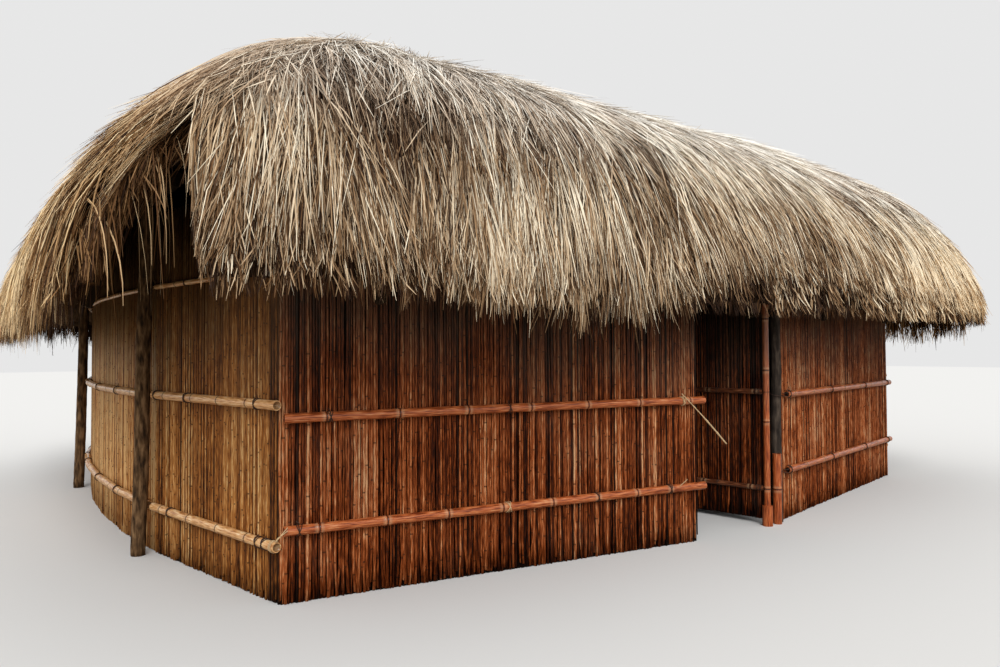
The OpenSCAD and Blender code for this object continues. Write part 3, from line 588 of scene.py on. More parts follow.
def culm(path, r, seed, sides=14, nodes=None, bow=0.0, hollow=True):
    """A bamboo pole along 3D points, with nodes at given lengths or at random, hollow at its cut ends, their
    inside painted dark as shade.
    """
    g = np.random.default_rng(seed)
    path = np.asarray(path, dtype=float)
    start = lengths_along(path)
    total = start[-1]
    if nodes is None:
        count = int(total / NODE_GAP) + 2
        nodes = g.uniform(0.08, NODE_GAP) + np.cumsum(NODE_GAP * g.uniform(0.8, 1.15, count))
        nodes = [nodes[0] - NODE_GAP, *nodes]
    s, scale, ring = culm_rows(start, total, nodes)
    depth, hollow_shade = (min(CULM_DEPTH, total / 4), 1.2) if hollow else (0.002, 0.7)
    # Inside and cut face before the outer skin, and after it in reverse; the inside is painted dark as shade
    # in the hollow
    s = np.concatenate([[depth, 0, 0, 0], s, [total, total, total, total - depth]])
    scale = np.concatenate([[CULM_WALL] * 3 + [CULM_END], scale, [CULM_END] + [CULM_WALL] * 3])
    ring = np.concatenate([[hollow_shade, 0.6, 0.2, 0], ring, [0, 0.2, 0.6, hollow_shade]])
    at = points_at(path, start, s)
    along = unit(points_at(path, start, s + 0.004) - points_at(path, start, s - 0.004))
    at[:, 2] += bow * np.sin(np.pi * s / total)
    verts = rings_round(at[None], (r * scale)[None], sides, along[None]).reshape(-1, 3)
    quads, low, high = skin(1, len(s), sides)
    # The strips between doubled rings are left out, so that the cut edges stay sharp
    doubled = [1, 3, len(s) - 5, len(s) - 3]
    quads = quads[~np.isin(np.arange(len(quads)) // sides, doubled)]
    return verts, [quads, low, high], np.repeat(ring, sides)


def bamboo(name, culms, mat, body="house"):
    v, f, (ring,) = joined(culms)
    mesh_object("bamboo_" + name, v, f, body, mat, replaces=[name], attributes={"ring": ring})


def face_path(i, j, z, r, past0, past1, inside=False):
    """Straight path along a wall's outer or inner face from outline point i to j."""
    p, q = OUTLINE[i % N_OUT], OUTLINE[j % N_OUT]
    d = unit(q - p)
    inwards = np.array([-d[1], d[0]])
    off = inwards * (WALL_T + r + SEAT) if inside else -inwards * (r + SEAT)
    return [(*(p + off - d * past0), z), (*(q + off + d * past1), z)]


def bent_path(i, j, z, r, past):
    """Path along the outer faces from outline point i to j, bent where they bend."""
    out = [face_path(i, i + 1, z, r, past, 0)[0]]
    for k in range(i + 1, j):
        u, w = unit(np.diff(outline_points(k - 1, k + 1), axis=0))
        n = np.array([-u[1] - w[1], u[0] + w[0]])
        out.append((*(OUTLINE[k % N_OUT] - n * (r + SEAT) / (1 + u @ w)), z))
    return out + [face_path(j - 1, j, z, r, 0, past)[1]]


# Rows of rails as heights and radii, and lengths at which the nodes of the front's lie, as seen
RAILS = ((LOW_Z, RAIL_R), (MID_Z, RAIL_R), (TOP_Z, TOP_RAIL_R))
END_RAILS = ((END_LOW_Z, RAIL_R), (END_MID_Z, RAIL_R), (TOP_Z, TOP_RAIL_R))
FRONT_MID_NODES = (0.247, 0.709, 1.183, 1.654, 2.118, 2.575, 3.05)
FRONT_LOW_NODES = (0.205, 0.627, 1.038, 1.434, 1.822, 2.198, 2.545, 2.855)
# The end rails stop at the posts; the right end's stop a little short of the front corner
POST_GAP, RIGHT_CUT = POST_R - 0.004, 0.07
front_low, front_mid = (face_path(0, 1, z, RAIL_R, -CORNER_SHORT, RAIL_PAST) for z in (LOW_Z, MID_Z))
right_low, right_mid = (face_path(2, 3, z, RAIL_R, -JAMB_SHORT, -CORNER_SHORT) for z in (LOW_Z, MID_Z))
bamboo("front_rails", [
    culm(front_mid, RAIL_R, 101, nodes=FRONT_MID_NODES, bow=0.004),
    culm(front_low, RAIL_R, 102, nodes=FRONT_LOW_NODES),
    culm(right_mid, RAIL_R, 103), culm(right_low, RAIL_R, 104),
    culm(face_path(0, 1, TOP_Z, TOP_RAIL_R, -CORNER_SHORT, 0), TOP_RAIL_R, 105),
    culm(face_path(2, 3, TOP_Z, TOP_RAIL_R, -JAMB_SHORT, -CORNER_SHORT), TOP_RAIL_R, 106)], BAMBOO)
bamboo("rear_rails", [culm(bent_path(9, 12, z, r, -CORNER_SHORT), r, 110 + n)
                      for n, (z, r) in enumerate(RAILS)], BAMBOO)
end_pieces = {}
for name, i, j, sides, cut in (("left_end_rails", 12, 18, 14, 0), ("right_end_rails", 3, 9, 8, RIGHT_CUT)):
    culms = []
    bend = lengths_along(outline_points(i, i + 1))[-1] + CORNER_PAST
    for row, (z, r) in enumerate(END_RAILS):
        path = bent_path(i, j, z, r, CORNER_PAST)
        total = lengths_along(path)[-1]
        stops = (cut, bend - POST_GAP, bend + POST_GAP,
                 total - bend - POST_GAP, total - bend + POST_GAP, total)
        for n in range(3):
            piece = part_of(path, *stops[2 * n:2 * n + 2])
            end_pieces[name, row, n] = piece
            culms.append(culm(piece, r, 120 + i * 10 + row * 3 + n, sides, hollow=False))
    bamboo(name, culms, PALE_BAMBOO)
bamboo("inner_rails", [culm(face_path(i, i + 1, z, r, -INNER_SHORT, -INNER_SHORT, True), r, 500 + i, 8)
                       for i in (0, 2, 3, 8, 9, 11, 12, 17) for z, r in RAILS], INNER_BAMBOO)


# Posts: rings of a pole, how far it sways, and its knots' number and size
BARK_SIDES, BARK_STEPS, BARK_SWAY, KNOTS, KNOT = 18, 48, 0.006, 7, 0.20


def bark_pole(a, b, r, seed):
    """A barked pole, a little lumpy, with stubs of cut branches as knots."""
    g = np.random.default_rng(seed)
    f = np.linspace(0, 1, BARK_STEPS + 1)
    a, b = np.array(a, float), np.array(b, float)
    path = a + (b - a) * f[:, None]
    sway = np.stack([waves(f, seed, 7.0, 2), waves(f, seed + 1, 7.0, 2), 0 * f])
    path += BARK_SWAY * (np.sin(np.pi * f) ** 0.5 * sway).T
    lump = 1 + 0.05 * np.sin(2 * angles(BARK_SIDES) + 4 * f[:, None] + seed)
    lump += g.normal(0, 0.016, (BARK_STEPS + 1, BARK_SIDES))
    for _ in range(KNOTS):
        k, t = g.integers(2, BARK_STEPS - 2), g.integers(0, BARK_SIDES)
        lump[k, [t, (t + 1) % BARK_SIDES]] += KNOT
        lump[[k - 1, k + 1], t] += KNOT / 2
    rings = rings_round(path[None], np.full((1, BARK_STEPS + 1), r), BARK_SIDES)[0]
    rings = path[:, None] + (rings - path[:, None]) * np.clip(lump, 0.86, 1.25)[:, :, None]
    return rings.reshape(-1, 3), skin(1, BARK_STEPS + 1, BARK_SIDES)


def node_islands(name):
    """The separate solids of a CAD node, each as an array of its points."""
    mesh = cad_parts[name].data
    co = np.array([v.co[:] for v in mesh.vertices])
    _, same = np.unique(np.round(co, 5), axis=0, return_inverse=True)
    same = same.ravel()
    group = np.arange(same.max() + 1)
    a, b = same[np.array([e.vertices[:] for e in mesh.edges])].T
    while (group[a] != group[b]).any():
        low = np.minimum(group[a], group[b])
        np.minimum.at(group, a, low)
        np.minimum.at(group, b, low)
    return [co[group[same] == k] for k in np.unique(group)]


def upright_ends(points):
    """Middles of the lowest and the highest level of an upright solid's points."""
    z = points[:, 2]
    out = []
    for level, near in ((z.min(), z < z.min() + 0.01), (z.max(), z > z.max() - 0.06)):
        mid = (points[near].min(0) + points[near].max(0)) / 2
        out.append((mid[0], mid[1], level))
    return out


def posts(name, mat, seed, r=POST_R):
    ends = [upright_ends(p) for p in node_islands(name)]
    v, f, _ = joined([bark_pole(a, b, r, seed + n) for n, (a, b) in enumerate(ends)])
    mesh_object("bark_" + name, v, f, "house", mat, replaces=[name])


def dress(names, mat):
    """Gives CAD nodes that stay as they are a material."""
    for name in names:
        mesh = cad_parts[name].data
        mesh.materials.clear()
        mesh.materials.append(mat)


posts("left_end_posts", BARK, 600)
posts("right_end_posts", BARK, 610)
posts("door_post", CHARRED, 640)
posts("jamb_post", CHARRED, 650, 0.9 * POST_R)
# The frame under the thatch is coloured near black as painted shade
dress(["corner_posts", "lintel", "front_bearer", "rear_bearer", "end_bearers", "purlins", "ridge_pole",
       "eave_rafters", "rafters", "upper_rafters", "hip_rafters", "long_battens", "end_battens"], SHADED_FRAME_WOOD)
dress(["pivot_loop"], BAMBOO)
dress(["pivot_socket"], POLE_BAMBOO)

# Roof: the angle at which each side faces, and fine steps of the turn from eave (0) to ridge (90)
SIDES = {"front": 270, "right": 0, "rear": 90, "left": 180}
T_FINE = np.linspace(0, 90, 721)
# How much the loose thatch is drawn in at the corner on the right of the front
CORNER_DRAW = 0.055
# Degrees round the corner that each side's loose grass leaves open at the notch, at its low or high end
OPEN_LOW, OPEN_HIGH = {"front": NOTCH_FRONT - 2}, {"left": NOTCH_SIDE + 13}


def c_of(t):
    return np.cos(np.radians(t)) ** (2 / FULLNESS)


def s_of(t):
    return np.sin(np.radians(t)) ** (2 / FULLNESS)


def half_a(t, d=0.0):
    return RIDGE_HALF + (ROOF_A - d - RIDGE_HALF) * c_of(t)


def half_b(t, d=0.0):
    return (ROOF_B - d) * c_of(t)


def corner_r(t, d=0.0):
    return (ROOF_CORNER - d) * c_of(t)


class Side:
    """A side of the roof: v from -1 to 1 along it, s the length up its slope from the turn of the eave."""

    def __init__(self, name, sunk=True):
        a = math.radians(SIDES[name])
        self.name = name
        self.out = np.array([math.cos(a), math.sin(a)])
        self.along = np.array([-math.sin(a), math.cos(a)])
        long = name in ("front", "rear")
        self.half_width, self.half_depth = (half_a, half_b) if long else (half_b, half_a)
        self.inside, self.down = (0.0, 0.0) if long or not sunk else (END_IN, END_DOWN)
        profile = np.stack([self.half_depth(T_FINE, self.inside), self.z(T_FINE)], 1)
        self.s_fine = lengths_along(profile)
        self.length = self.s_fine[-1]
        tangent = unit(np.gradient(profile, axis=0))
        self.n_out, self.n_up = tangent[:, 1], -tangent[:, 0]

    def z(self, t):
        return EAVE_Z + (ROOF_TOP - EAVE_Z - self.down) * s_of(t)

    def t_at(self, s):
        return np.interp(s, self.s_fine, T_FINE)

    def s_at(self, t):
        return np.interp(t, T_FINE, self.s_fine)

    def widths(self, t):
        """Half the straight width of the side at t, and the length of half its rounded corner."""
        r = corner_r(t, self.inside)
        return self.half_width(t, self.inside) - r, r * np.pi / 4

    def half(self, t):
        return np.maximum(sum(self.widths(t)), 0.05)

    def plan(self, v, t, d):
        """Plan point at v on the rim that lies d inside the outer one, and its angle round the corner."""
        r = corner_r(t, d)
        w = self.half_width(t, d) - r
        x = v * (w + r * np.pi / 4)
        phi = np.clip((np.abs(x) - w) / np.maximum(r, 1e-6), 0, np.pi / 4)
        x = np.sign(x) * (np.minimum(np.abs(x), w) + r * np.sin(phi))
        y = self.half_depth(t, d) - r + r * np.cos(phi)
        return x[..., None] * self.along + y[..., None] * self.out, phi * np.sign(v)

    def point(self, v, s, lift=0.0):
        """Point of the surface raised by lift along its normal; below the eave it hangs straight down."""
        t = self.t_at(np.maximum(s, 0))
        xy, phi = self.plan(v, t, self.inside)
        corner = np.clip(xy[..., 0] / ROOF_A, 0, 1) * np.clip(-xy[..., 1] / ROOF_B, 0, 1)
        xy = xy * (1 - CORNER_DRAW * corner ** 2 * np.interp(t, (0, 20), (0.3, 1)))[..., None]
        face = np.sin(phi)[..., None] * self.along + np.cos(phi)[..., None] * self.out
        xy = xy + face * (lift * np.interp(t, T_FINE, self.n_out))[..., None]
        z = self.z(t) + np.minimum(s, 0) + lift * np.interp(t, T_FINE, self.n_up)
        return np.concatenate([xy, z[..., None]], -1)

    def inner_point(self, v, t):
        """Point of the flat-sided underside."""
        t = min(max(t, 3), 89)
        k = 0 if t < FRAME_ANGLES[1] else 1 if t < FRAME_ANGLES[2] else 2
        f = (t - FRAME_ANGLES[k]) / (FRAME_ANGLES[k + 1] - FRAME_ANGLES[k])
        ends = []
        for angle in FRAME_ANGLES[k:k + 2]:
            angle = np.full(v.shape, float(angle))
            z = FRINGE_Z + (ROOF_TOP - RIDGE_T - FRINGE_Z) * s_of(angle)
            ends.append(np.concatenate([self.plan(v, angle, EAVE_T)[0], z[:, None]], 1))
        return ends[0] * (1 - f) + ends[1] * f

    def limits(self, s):
        """Least and greatest v at s, where the notch leaves the roof open."""
        t = self.t_at(np.maximum(s, 0))
        share = np.sqrt(np.clip((NOTCH_TOP - self.z(t)) / (NOTCH_TOP - EAVE_Z), 0, 1))
        w, arc = self.widths(t)
        edge = lambda turn: (w + arc * (1 - turn * share / 45)) / np.maximum(w + arc, 1e-6)
        return -edge(OPEN_LOW.get(self.name, 0)), edge(OPEN_HIGH.get(self.name, 0))


SURFACE = {name: Side(name) for name in SIDES}
LEVEL = {name: Side(name, False) for name in SIDES}
# Heights at which the front fringe ends, at distances from the left corner of the walls
FRINGE_X = (-0.7, -0.46, -0.07, 0.32, 0.63, 0.97, 1.26, 1.67, 1.94,
            2.23, 2.64, 3.23, 4.04, 4.83, 5.75, 6.85, 7.75)
FRINGE_H = (1.80, 1.83, 1.80, 1.77, 1.72, 1.71, 1.68, 1.60, 1.61,
            1.72, 1.84, 1.93, 1.97, 1.95, 1.88, 1.80, 1.78)


def fringe_height(side, v):
    if side.name == "front":
        return np.interp(v * side.half(0.0) + HL, FRINGE_X, FRINGE_H)
    return 1.62 + 0.06 * waves(v, SIDES[side.name] + 5, 6.0)


# Tufts on the body and in the fringe of each side, paler or darker tones, and rings to a blade
TUFTS = {"front": (6750, 1050), "left": (3150, 850), "right": (1450, 480), "rear": (1450, 450)}
PALER = {"front": -0.02, "left": 0.03, "right": 0.12, "rear": 0.0}
BODY_STEPS, FRINGE_STEPS, PER_TUFT = 3, 4, 10
# Coarser blades, on a paler body, where the grass is sparse
COARSER = {"rear": 1.9, "right": 1.25}
# Widths of blades, their shape from root to tip, and how much wider they are at the far end
BLADE_W, BLADE_SHAPE = (0.0032, 0.0078), (0.9, 1.0, 0.8, 0.25)
WIDER_X, WIDER = (-4.0, 4.5), (1.0, 1.7)
# How much paler the grass is towards the right-hand end
PALER_X, PALER_EAST = (-1.0, 2.0, 3.2, 4.6), (0.0, 0.20, 0.20, 0.08)
# Place, size and depth of a hollow in the front's thatch
DENT_V, DENT_S, DENT_R, DENT = -0.75, 1.12, 0.26, 2.2
# Spread of a tuft's roots along the side and up it, and how much tufts fan out down the slope
ROOTS_ALONG, ROOTS_UP, FAN = 0.032, 0.06, 0.55
# Slopes at which combed patches, tufts and blades lean
COMB_LEAN, TUFT_LEAN, BLADE_LEAN = 0.12, 0.14, 0.08
# Height of a tuft: of the lowest layer, up to the highest, by the hollows, and from blade to blade
LIFT, LAYER_LIFT, HOLLOW_LIFT, BLADE_LIFT = -0.060, 0.070, 0.028, 0.006
# Rise of the tips: mean, from tuft to tuft, and from blade to blade
RISE, TUFT_RISE, BLADE_RISE = 0.017, 0.018, 0.011
# Tone of a tuft: of the lowest layer, up to the highest, by the hollows, by tuft, by blade, and at the eave;
# the lower layers are darker as older grass and as painted shade, the hollows and the eave darker as painted
# shade
TONE, LAYER_AGE_AND_SHADE_TONE, HOLLOW_SHADE_TONE, TUFT_TONE, BLADE_TONE = -0.05, 0.78, 0.26, 0.08, 0.31
EAVE_SHADE_TONE, EAVE_REACH = -0.27, 0.7
# Stray blades: their share, and what they add to lean and rise
STRAYS, STRAY_LEAN, STRAY_RISE = 0.035, 0.3, (0.01, 0.05)
# Tufts deep in the fringe: their share, how far they sink, and their tone, darker as painted shade
DEEP, DEEP_SINK, DEEP_SHADE_TONE = 0.45, (0.03, 0.15), -0.25


def shaped_blades(paths, out, tone, root_shade, g, coarse=1.0):
    """Blades along paths (n, k, 3), turned roughly outwards, with tones and painted shade at their roots."""
    n, k, _ = paths.shape
    along = unit(np.gradient(paths, axis=1))
    across = unit(np.cross(along, out))
    spin = g.uniform(-1.0, 1.0, n)[:, None, None]
    flat = unit(across * np.cos(spin) + np.cross(along, across) * np.sin(spin))
    f = np.linspace(0, 1, k)
    wide = coarse * g.uniform(*BLADE_W, n) * np.interp(paths[:, 0, 0], WIDER_X, WIDER)
    verts, faces = ribbons(paths, wide[:, None] * np.interp(f, (0, 0.33, 0.67, 1), BLADE_SHAPE), flat)
    # The first 40% of a blade darkens towards its roots: painted shade
    root_shade = np.clip(1 - f / 0.4, 0, 1) * np.broadcast_to(root_shade, n)[:, None]
    return verts, faces, np.repeat(np.clip(tone, 0, 1), 2 * k), np.repeat(root_shade.ravel(), 2)


def hollows(side, v, s, wide):
    """How thin or thick the thatch is at places on a side, from about -1 to 1."""
    hollow = patches(v * wide, s, SIDES[side.name] + 3, 2.0)
    if side.name == "front":
        near = ((v - DENT_V) * wide / DENT_R) ** 2 + ((s - DENT_S) / DENT_R) ** 2
        hollow = hollow - DENT * np.exp(-near ** 2)
    return hollow


def fringe_ends(side, v, tuft, g):
    """Lengths below the eave to which the blades of a ragged fringe hang."""
    end = fringe_height(side, v) - EAVE_Z - 0.03 + tuft(np.abs(g.normal(0, 0.17, len(v) // PER_TUFT)))
    end = end + np.abs(g.normal(0, 0.04, len(v))) + 0.05 * waves(v, SIDES[side.name] + 9, 60.0)
    return np.where(g.random(len(v)) < 0.06, end - g.uniform(0.02, 0.12, len(v)), end)


def combed(side, v0, v_off, s0, ell, lean, lift, gather, f):
    """Paths down a side from (v0 + v_off, s0): tufts fan out with the side, and their blades gather."""
    s = s0[:, None] - ell[:, None] * f
    half = side.half(side.t_at(np.maximum(s, 0)))
    narrow = side.half(side.t_at(s0))[:, None] / half
    v = v0[:, None] * ((1 - FAN) * narrow + FAN)
    v = v + v_off[:, None] * narrow * (1 - (1 - gather[:, None]) * f) + (lean * ell)[:, None] * f / half
    low, high = side.limits(s)
    return side.point(np.clip(v, low - 0.004, high + 0.004), s, lift)


def blades(side, cv, cs, seed, body=True, messy=0.0, pale=0.0, steps=4):
    """Blades combed down a side of the roof in tufts that start at (cv, cs)."""
    g = np.random.default_rng(seed)
    m, n = len(cv), len(cv) * PER_TUFT
    tuft = lambda values: np.repeat(values, PER_TUFT)
    wide = side.half(side.t_at(cs))
    hollow = hollows(side, cv, cs, wide)
    comb = patches(cv * wide, cs, SIDES[side.name] + 4, 1.1)
    layer = g.uniform(0, 1, m)
    v_off = g.normal(0, ROOTS_ALONG, n) / tuft(wide)
    s0 = np.clip(tuft(cs) + g.normal(0, ROOTS_UP, n), 0.0, side.length * 0.998)
    lean = tuft(COMB_LEAN * comb + g.normal(0, TUFT_LEAN + messy, m))
    lean = lean + g.normal(0, BLADE_LEAN + messy / 2, n)
    lift = tuft(LIFT + LAYER_LIFT * layer + HOLLOW_LIFT * hollow) + g.normal(0, BLADE_LIFT, n)
    rise = tuft(g.normal(RISE, TUFT_RISE, m)) + g.normal(0, BLADE_RISE, n)
    stray = g.random(n) < STRAYS
    lean = np.where(stray, lean + g.normal(0, STRAY_LEAN, n), lean)
    rise = np.where(stray, rise + g.uniform(*STRAY_RISE, n), rise)
    gather = tuft(g.uniform(0.2, 1.0, m) if body else g.uniform(0.1, 0.8, m))
    pale = pale + np.interp(tuft(cv * wide * side.along[0]), PALER_X, PALER_EAST)
    # Deeper layers, hollows and tufts near the eave are darker: painted shade under the blades above, the
    # deeper layers partly older grass
    tone = tuft(g.normal(TONE, TUFT_TONE, m) + LAYER_AGE_AND_SHADE_TONE * layer + HOLLOW_SHADE_TONE * hollow) + pale
    tone = tone + g.normal(0, BLADE_TONE, n) + EAVE_SHADE_TONE * np.clip(1 - s0 / EAVE_REACH, 0, 1)
    if body:
        low = fringe_height(side, tuft(cv) + v_off) - EAVE_Z
        ell = tuft(g.uniform(0.40, 0.85, m)) * g.uniform(0.75, 1.15, n) * (1 - 0.4 * messy)
        ell = np.minimum(ell, s0 - low - g.uniform(0.06, 0.30, n))
    else:
        deep = tuft(g.random(m) < DEEP)
        lift = np.where(deep, lift - tuft(g.uniform(*DEEP_SINK, m)), lift)
        rise = np.where(deep, 0.3 * rise, rise)
        # Deep and low-layer tufts of the fringe are darker as painted shade
        tone = np.where(deep, tone + DEEP_SHADE_TONE, tone + 0.05) - 0.10 * (tuft(layer) < 0.4)
        ell = s0 - fringe_ends(side, tuft(cv) + v_off, tuft, g)
    f = np.linspace(0, 1, steps)[None]
    lift = lift[:, None] + rise[:, None] * f ** 1.3
    paths = combed(side, tuft(cv), v_off, s0, np.maximum(ell, 0.10), lean, lift, gather, f)
    paths = paths + g.normal(0, 0.010, (n, 1, 3)) * (f ** 2)[:, :, None]
    root_shade = g.uniform(0.4, 1.0, n)
    return shaped_blades(paths, np.array([*side.out, 0.6]), tone, root_shade, g, COARSER.get(side.name, 1.0))


# How far from the left side's open edge its grass grows thin
THIN = 0.40


def spots(side, count, seed, low=0.0, high=1.0):
    """Places (v, s) spread evenly over a side of the roof between two shares of its slope."""
    g = np.random.default_rng(seed)
    s = g.uniform(low, high, 6 * count) * side.length
    s = s[g.random(len(s)) < side.half(side.t_at(s)) / side.half(0.0)][:count]
    lo, hi = side.limits(s)
    v = lo + (hi - lo) * g.uniform(0, 1, len(s))
    if side.name == "left":
        room = (hi - v) * side.half(side.t_at(s))
        keep = (hi > 0.999) | (g.uniform(0, THIN, len(s)) < room)
        v, s = v[keep], s[keep]
    return v, s


def grass_piece(name, layers, replaces=()):
    v, f, (tone, root_shade) = joined(layers)
    mesh_object(name, v, f, "house", GRASS, replaces=replaces,
                attributes={"tone": tone, "root_shade": root_shade}, smooth=False)


# How far the cut edge at the notch slants back through the thatch, and how low its underside hangs
SLANT, UNDERSIDE_Z = 0.24, 1.92
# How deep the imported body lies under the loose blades, and how much deeper at its hem
SINK, HEM_SINK = -0.065, -0.10


def inner_edge(side, s, v):
    """Point of the underside at v, drawn back near a side's cut edge."""
    if side.name == "left":
        lo, hi = side.limits(np.array([s]))
        reach = np.clip((v - lo) / (hi - lo), 0, 1) ** 6 * min((1 - hi[0]) * 8, 1)
        v = v - SLANT * reach / side.half(side.t_at(s))
    return side.inner_point(v, side.t_at(s))


def under_thatch(name):
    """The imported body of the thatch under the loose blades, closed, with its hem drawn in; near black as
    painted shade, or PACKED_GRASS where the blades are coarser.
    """
    side = SURFACE[name]
    rows = np.concatenate([[0.0, 0.12, 0.3], np.linspace(0.55, side.length, 18)])
    lo, hi = side.limits(rows)
    v = lo[:, None] + (hi - lo)[:, None] * np.linspace(0, 1, 41)
    s = rows[:, None] + 0 * v
    sink = np.where(s == 0, HEM_SINK, SINK) + 0.015 * patches(v * 4, s, 7, 3.0)
    inner = np.array([inner_edge(side, rows[k], v[k]) for k in range(len(rows))])
    inner[:, :, 2] = np.maximum(inner[:, :, 2], UNDERSIDE_Z)
    verts = np.concatenate([side.point(v, s, sink).reshape(-1, 3), inner.reshape(-1, 3)])
    o = np.arange(v.size).reshape(v.shape)
    i = o + v.size
    corners = [
        (o[:-1, :-1], o[:-1, 1:], o[1:, 1:], o[1:, :-1]), (i[:-1, :-1], i[1:, :-1], i[1:, 1:], i[:-1, 1:]),
        (o[0, :-1], i[0, :-1], i[0, 1:], o[0, 1:]), (o[-1, :-1], o[-1, 1:], i[-1, 1:], i[-1, :-1]),
        (o[:-1, 0], o[1:, 0], i[1:, 0], i[:-1, 0]), (o[:-1, -1], i[:-1, -1], i[1:, -1], o[1:, -1])]
    faces = [np.stack([c.ravel() for c in four], 1) for four in corners]
    # Under the finer blades the body is near black as painted shade between them
    packed_grass_or_painted_shade = PACKED_GRASS if name in COARSER else SHADED_UNDER_GRASS
    mesh_object("under_thatch_" + name, verts, faces, "house", packed_grass_or_painted_shade,
                replaces=["thatch_" + name])


def thatch(name):
    """A side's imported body, the loose grass on it and its fringe."""
    side = SURFACE[name]
    under_thatch(name)
    body, fringe = TUFTS[name]
    pieces = 2 if body > 3000 else 1
    for k in range(pieces):
        cv, cs = spots(side, body // pieces, 900 + SIDES[name] + k)
        layer = blades(side, cv, cs, 910 + SIDES[name] + k, pale=PALER[name], steps=BODY_STEPS)
        grass_piece(f"grass_{name}_{k}", [layer])
    cv, cs = spots(side, fringe, 920 + SIDES[name], 0.0, 0.14)
    layer = blades(side, cv, cs, 930 + SIDES[name], body=False, pale=PALER[name], steps=FRINGE_STEPS)
    grass_piece("fringe_" + name, [layer])


for name in SIDES:
    thatch(name)

# Blades over the ridge are paler by 0.60: partly bleaching, partly a painted sky sheen
ridge = []
for k, (name, count) in enumerate((("front", 330), ("rear", 200))):
    cv, cs = spots(SURFACE[name], count, 960 + k, 0.62, 1.0)
    ridge.append(blades(SURFACE[name], cv, cs, 970 + k, messy=0.5, pale=0.60))
grass_piece("grass_ridge", ridge, ["thatch_ridge"])

# Blades over each hip and the turn from which they hang, tones of these, and how far their sides sink
NOTCH_T = float(np.interp(NOTCH_TOP, SURFACE["front"].z(T_FINE), T_FINE))
HIPS = {("left", "front"): (1500, NOTCH_T), ("front", "right"): (850, 4.0), ("right", "rear"): (650, 4.0),
        ("rear", "left"): (650, 4.0)}
HIP_TONE, HIP_TONE_VARY, SINKS_OVER = 0.50, 0.24, 0.5
CREST = 400


def hip_blades(name, after, count, t_low, seed):
    """Blades that sweep across the hip between a side of the roof and the one after it."""
    g = np.random.default_rng(seed)
    way = 1 if after in ("front", "rear") else -1
    guide = SURFACE[after]
    t0 = g.uniform(t_low + 3, 87, count)
    h0 = way * g.uniform(-0.25, 0.40, count)
    lean = way * np.where(g.random(count) < 0.7, g.normal(-0.45, 0.25, count), g.normal(0.15, 0.2, count))
    s0, end = guide.s_at(t0), guide.s_at(t_low) - g.exponential(0.10, count)
    ell = np.clip(g.uniform(0.35, 0.85, count), 0.1, s0 - end)
    f = np.linspace(0, 1, 4)[None]
    t = guide.t_at(np.maximum(s0[:, None] - ell[:, None] * f, 0))
    h = h0[:, None] + (lean * ell)[:, None] * f
    lift = g.uniform(-0.02, 0.035, count)[:, None] + g.normal(0.01, 0.012, count)[:, None] * f
    share = np.clip(np.abs(h) / SINKS_OVER, 0, 1)[:, :, None]
    paths = g.normal(0, 0.008, (count, 1, 3)) * (f ** 2)[:, :, None]
    for place, end_v, mine in ((name, 1.0, h < 0), (after, -1.0, h >= 0)):
        v = end_v + h / SURFACE[place].half(t)
        level, sunk = (side[place].point(v, side[place].s_at(t), lift) for side in (LEVEL, SURFACE))
        paths = paths + np.where(mine[:, :, None], level * (1 - share) + sunk * share, 0)
    out = unit(np.array([*(SURFACE[name].out + guide.out), 0.8]))
    coarse = max(COARSER.get(name, 1.0), COARSER.get(after, 1.0))
    tone, root_shade = g.normal(HIP_TONE, HIP_TONE_VARY, count), g.uniform(0.2, 0.8, count)
    return shaped_blades(paths, out, tone, root_shade, g, coarse)


def crest_blades(name, count, seed):
    """Blades from an end of the ridge down over the lower thatch of that end."""
    g = np.random.default_rng(seed)
    level, sunk = LEVEL[name], SURFACE[name]
    f = np.linspace(0, 1, 4)[None]
    v = g.uniform(-1, 1, count)[:, None] + 0 * f
    s0 = level.length * g.uniform(0.84, 0.998, count)[:, None]
    t = level.t_at(s0 - g.uniform(0.35, 0.8, count)[:, None] * f)
    lift = g.uniform(-0.03, 0.03, count)[:, None] + 0 * f
    share = np.clip((1 - s0 / level.length) / 0.16 + f, 0, 1)[:, :, None]
    high, low = (side.point(v, side.s_at(t), lift) for side in (level, sunk))
    paths = high * (1 - share) + low * share + g.normal(0, 0.03, (count, 1, 3)) * f[:, :, None] * [1, 1, 0.3]
    tone = g.normal(HIP_TONE, HIP_TONE_VARY, count)
    return shaped_blades(paths, np.array([*sunk.out, 1.5]), tone, 0.3, g, 1.5)


grass_piece("grass_hips", [hip_blades(*pair, *HIPS[pair], 980 + k) for k, pair in enumerate(HIPS)]
            + [crest_blades(name, CREST, 985 + k) for k, name in enumerate(("left", "right"))])

# Grass on the cut edge, and strands that slipped over it: numbers, and how low they hang
VERGE, WISPS, VERGE_LOW, WISPS_LOW = 800, 36, 1.84, 1.82
VERGE_TOP = SURFACE["left"].s_at(NOTCH_T)


def verge_point(s, q, back=0.0):
    """Points of the left side's cut edge, q through the thatch from its outside, back from the edge."""
    side = SURFACE["left"]
    v = side.limits(s)[1] - back / side.half(side.t_at(s))
    outer = side.point(v, s, np.full(len(s), -0.03))
    inner = np.array([inner_edge(side, s[k], v[k:k + 1])[0] for k in range(len(s))])
    return outer * (1 - q[:, None]) + inner * q[:, None]


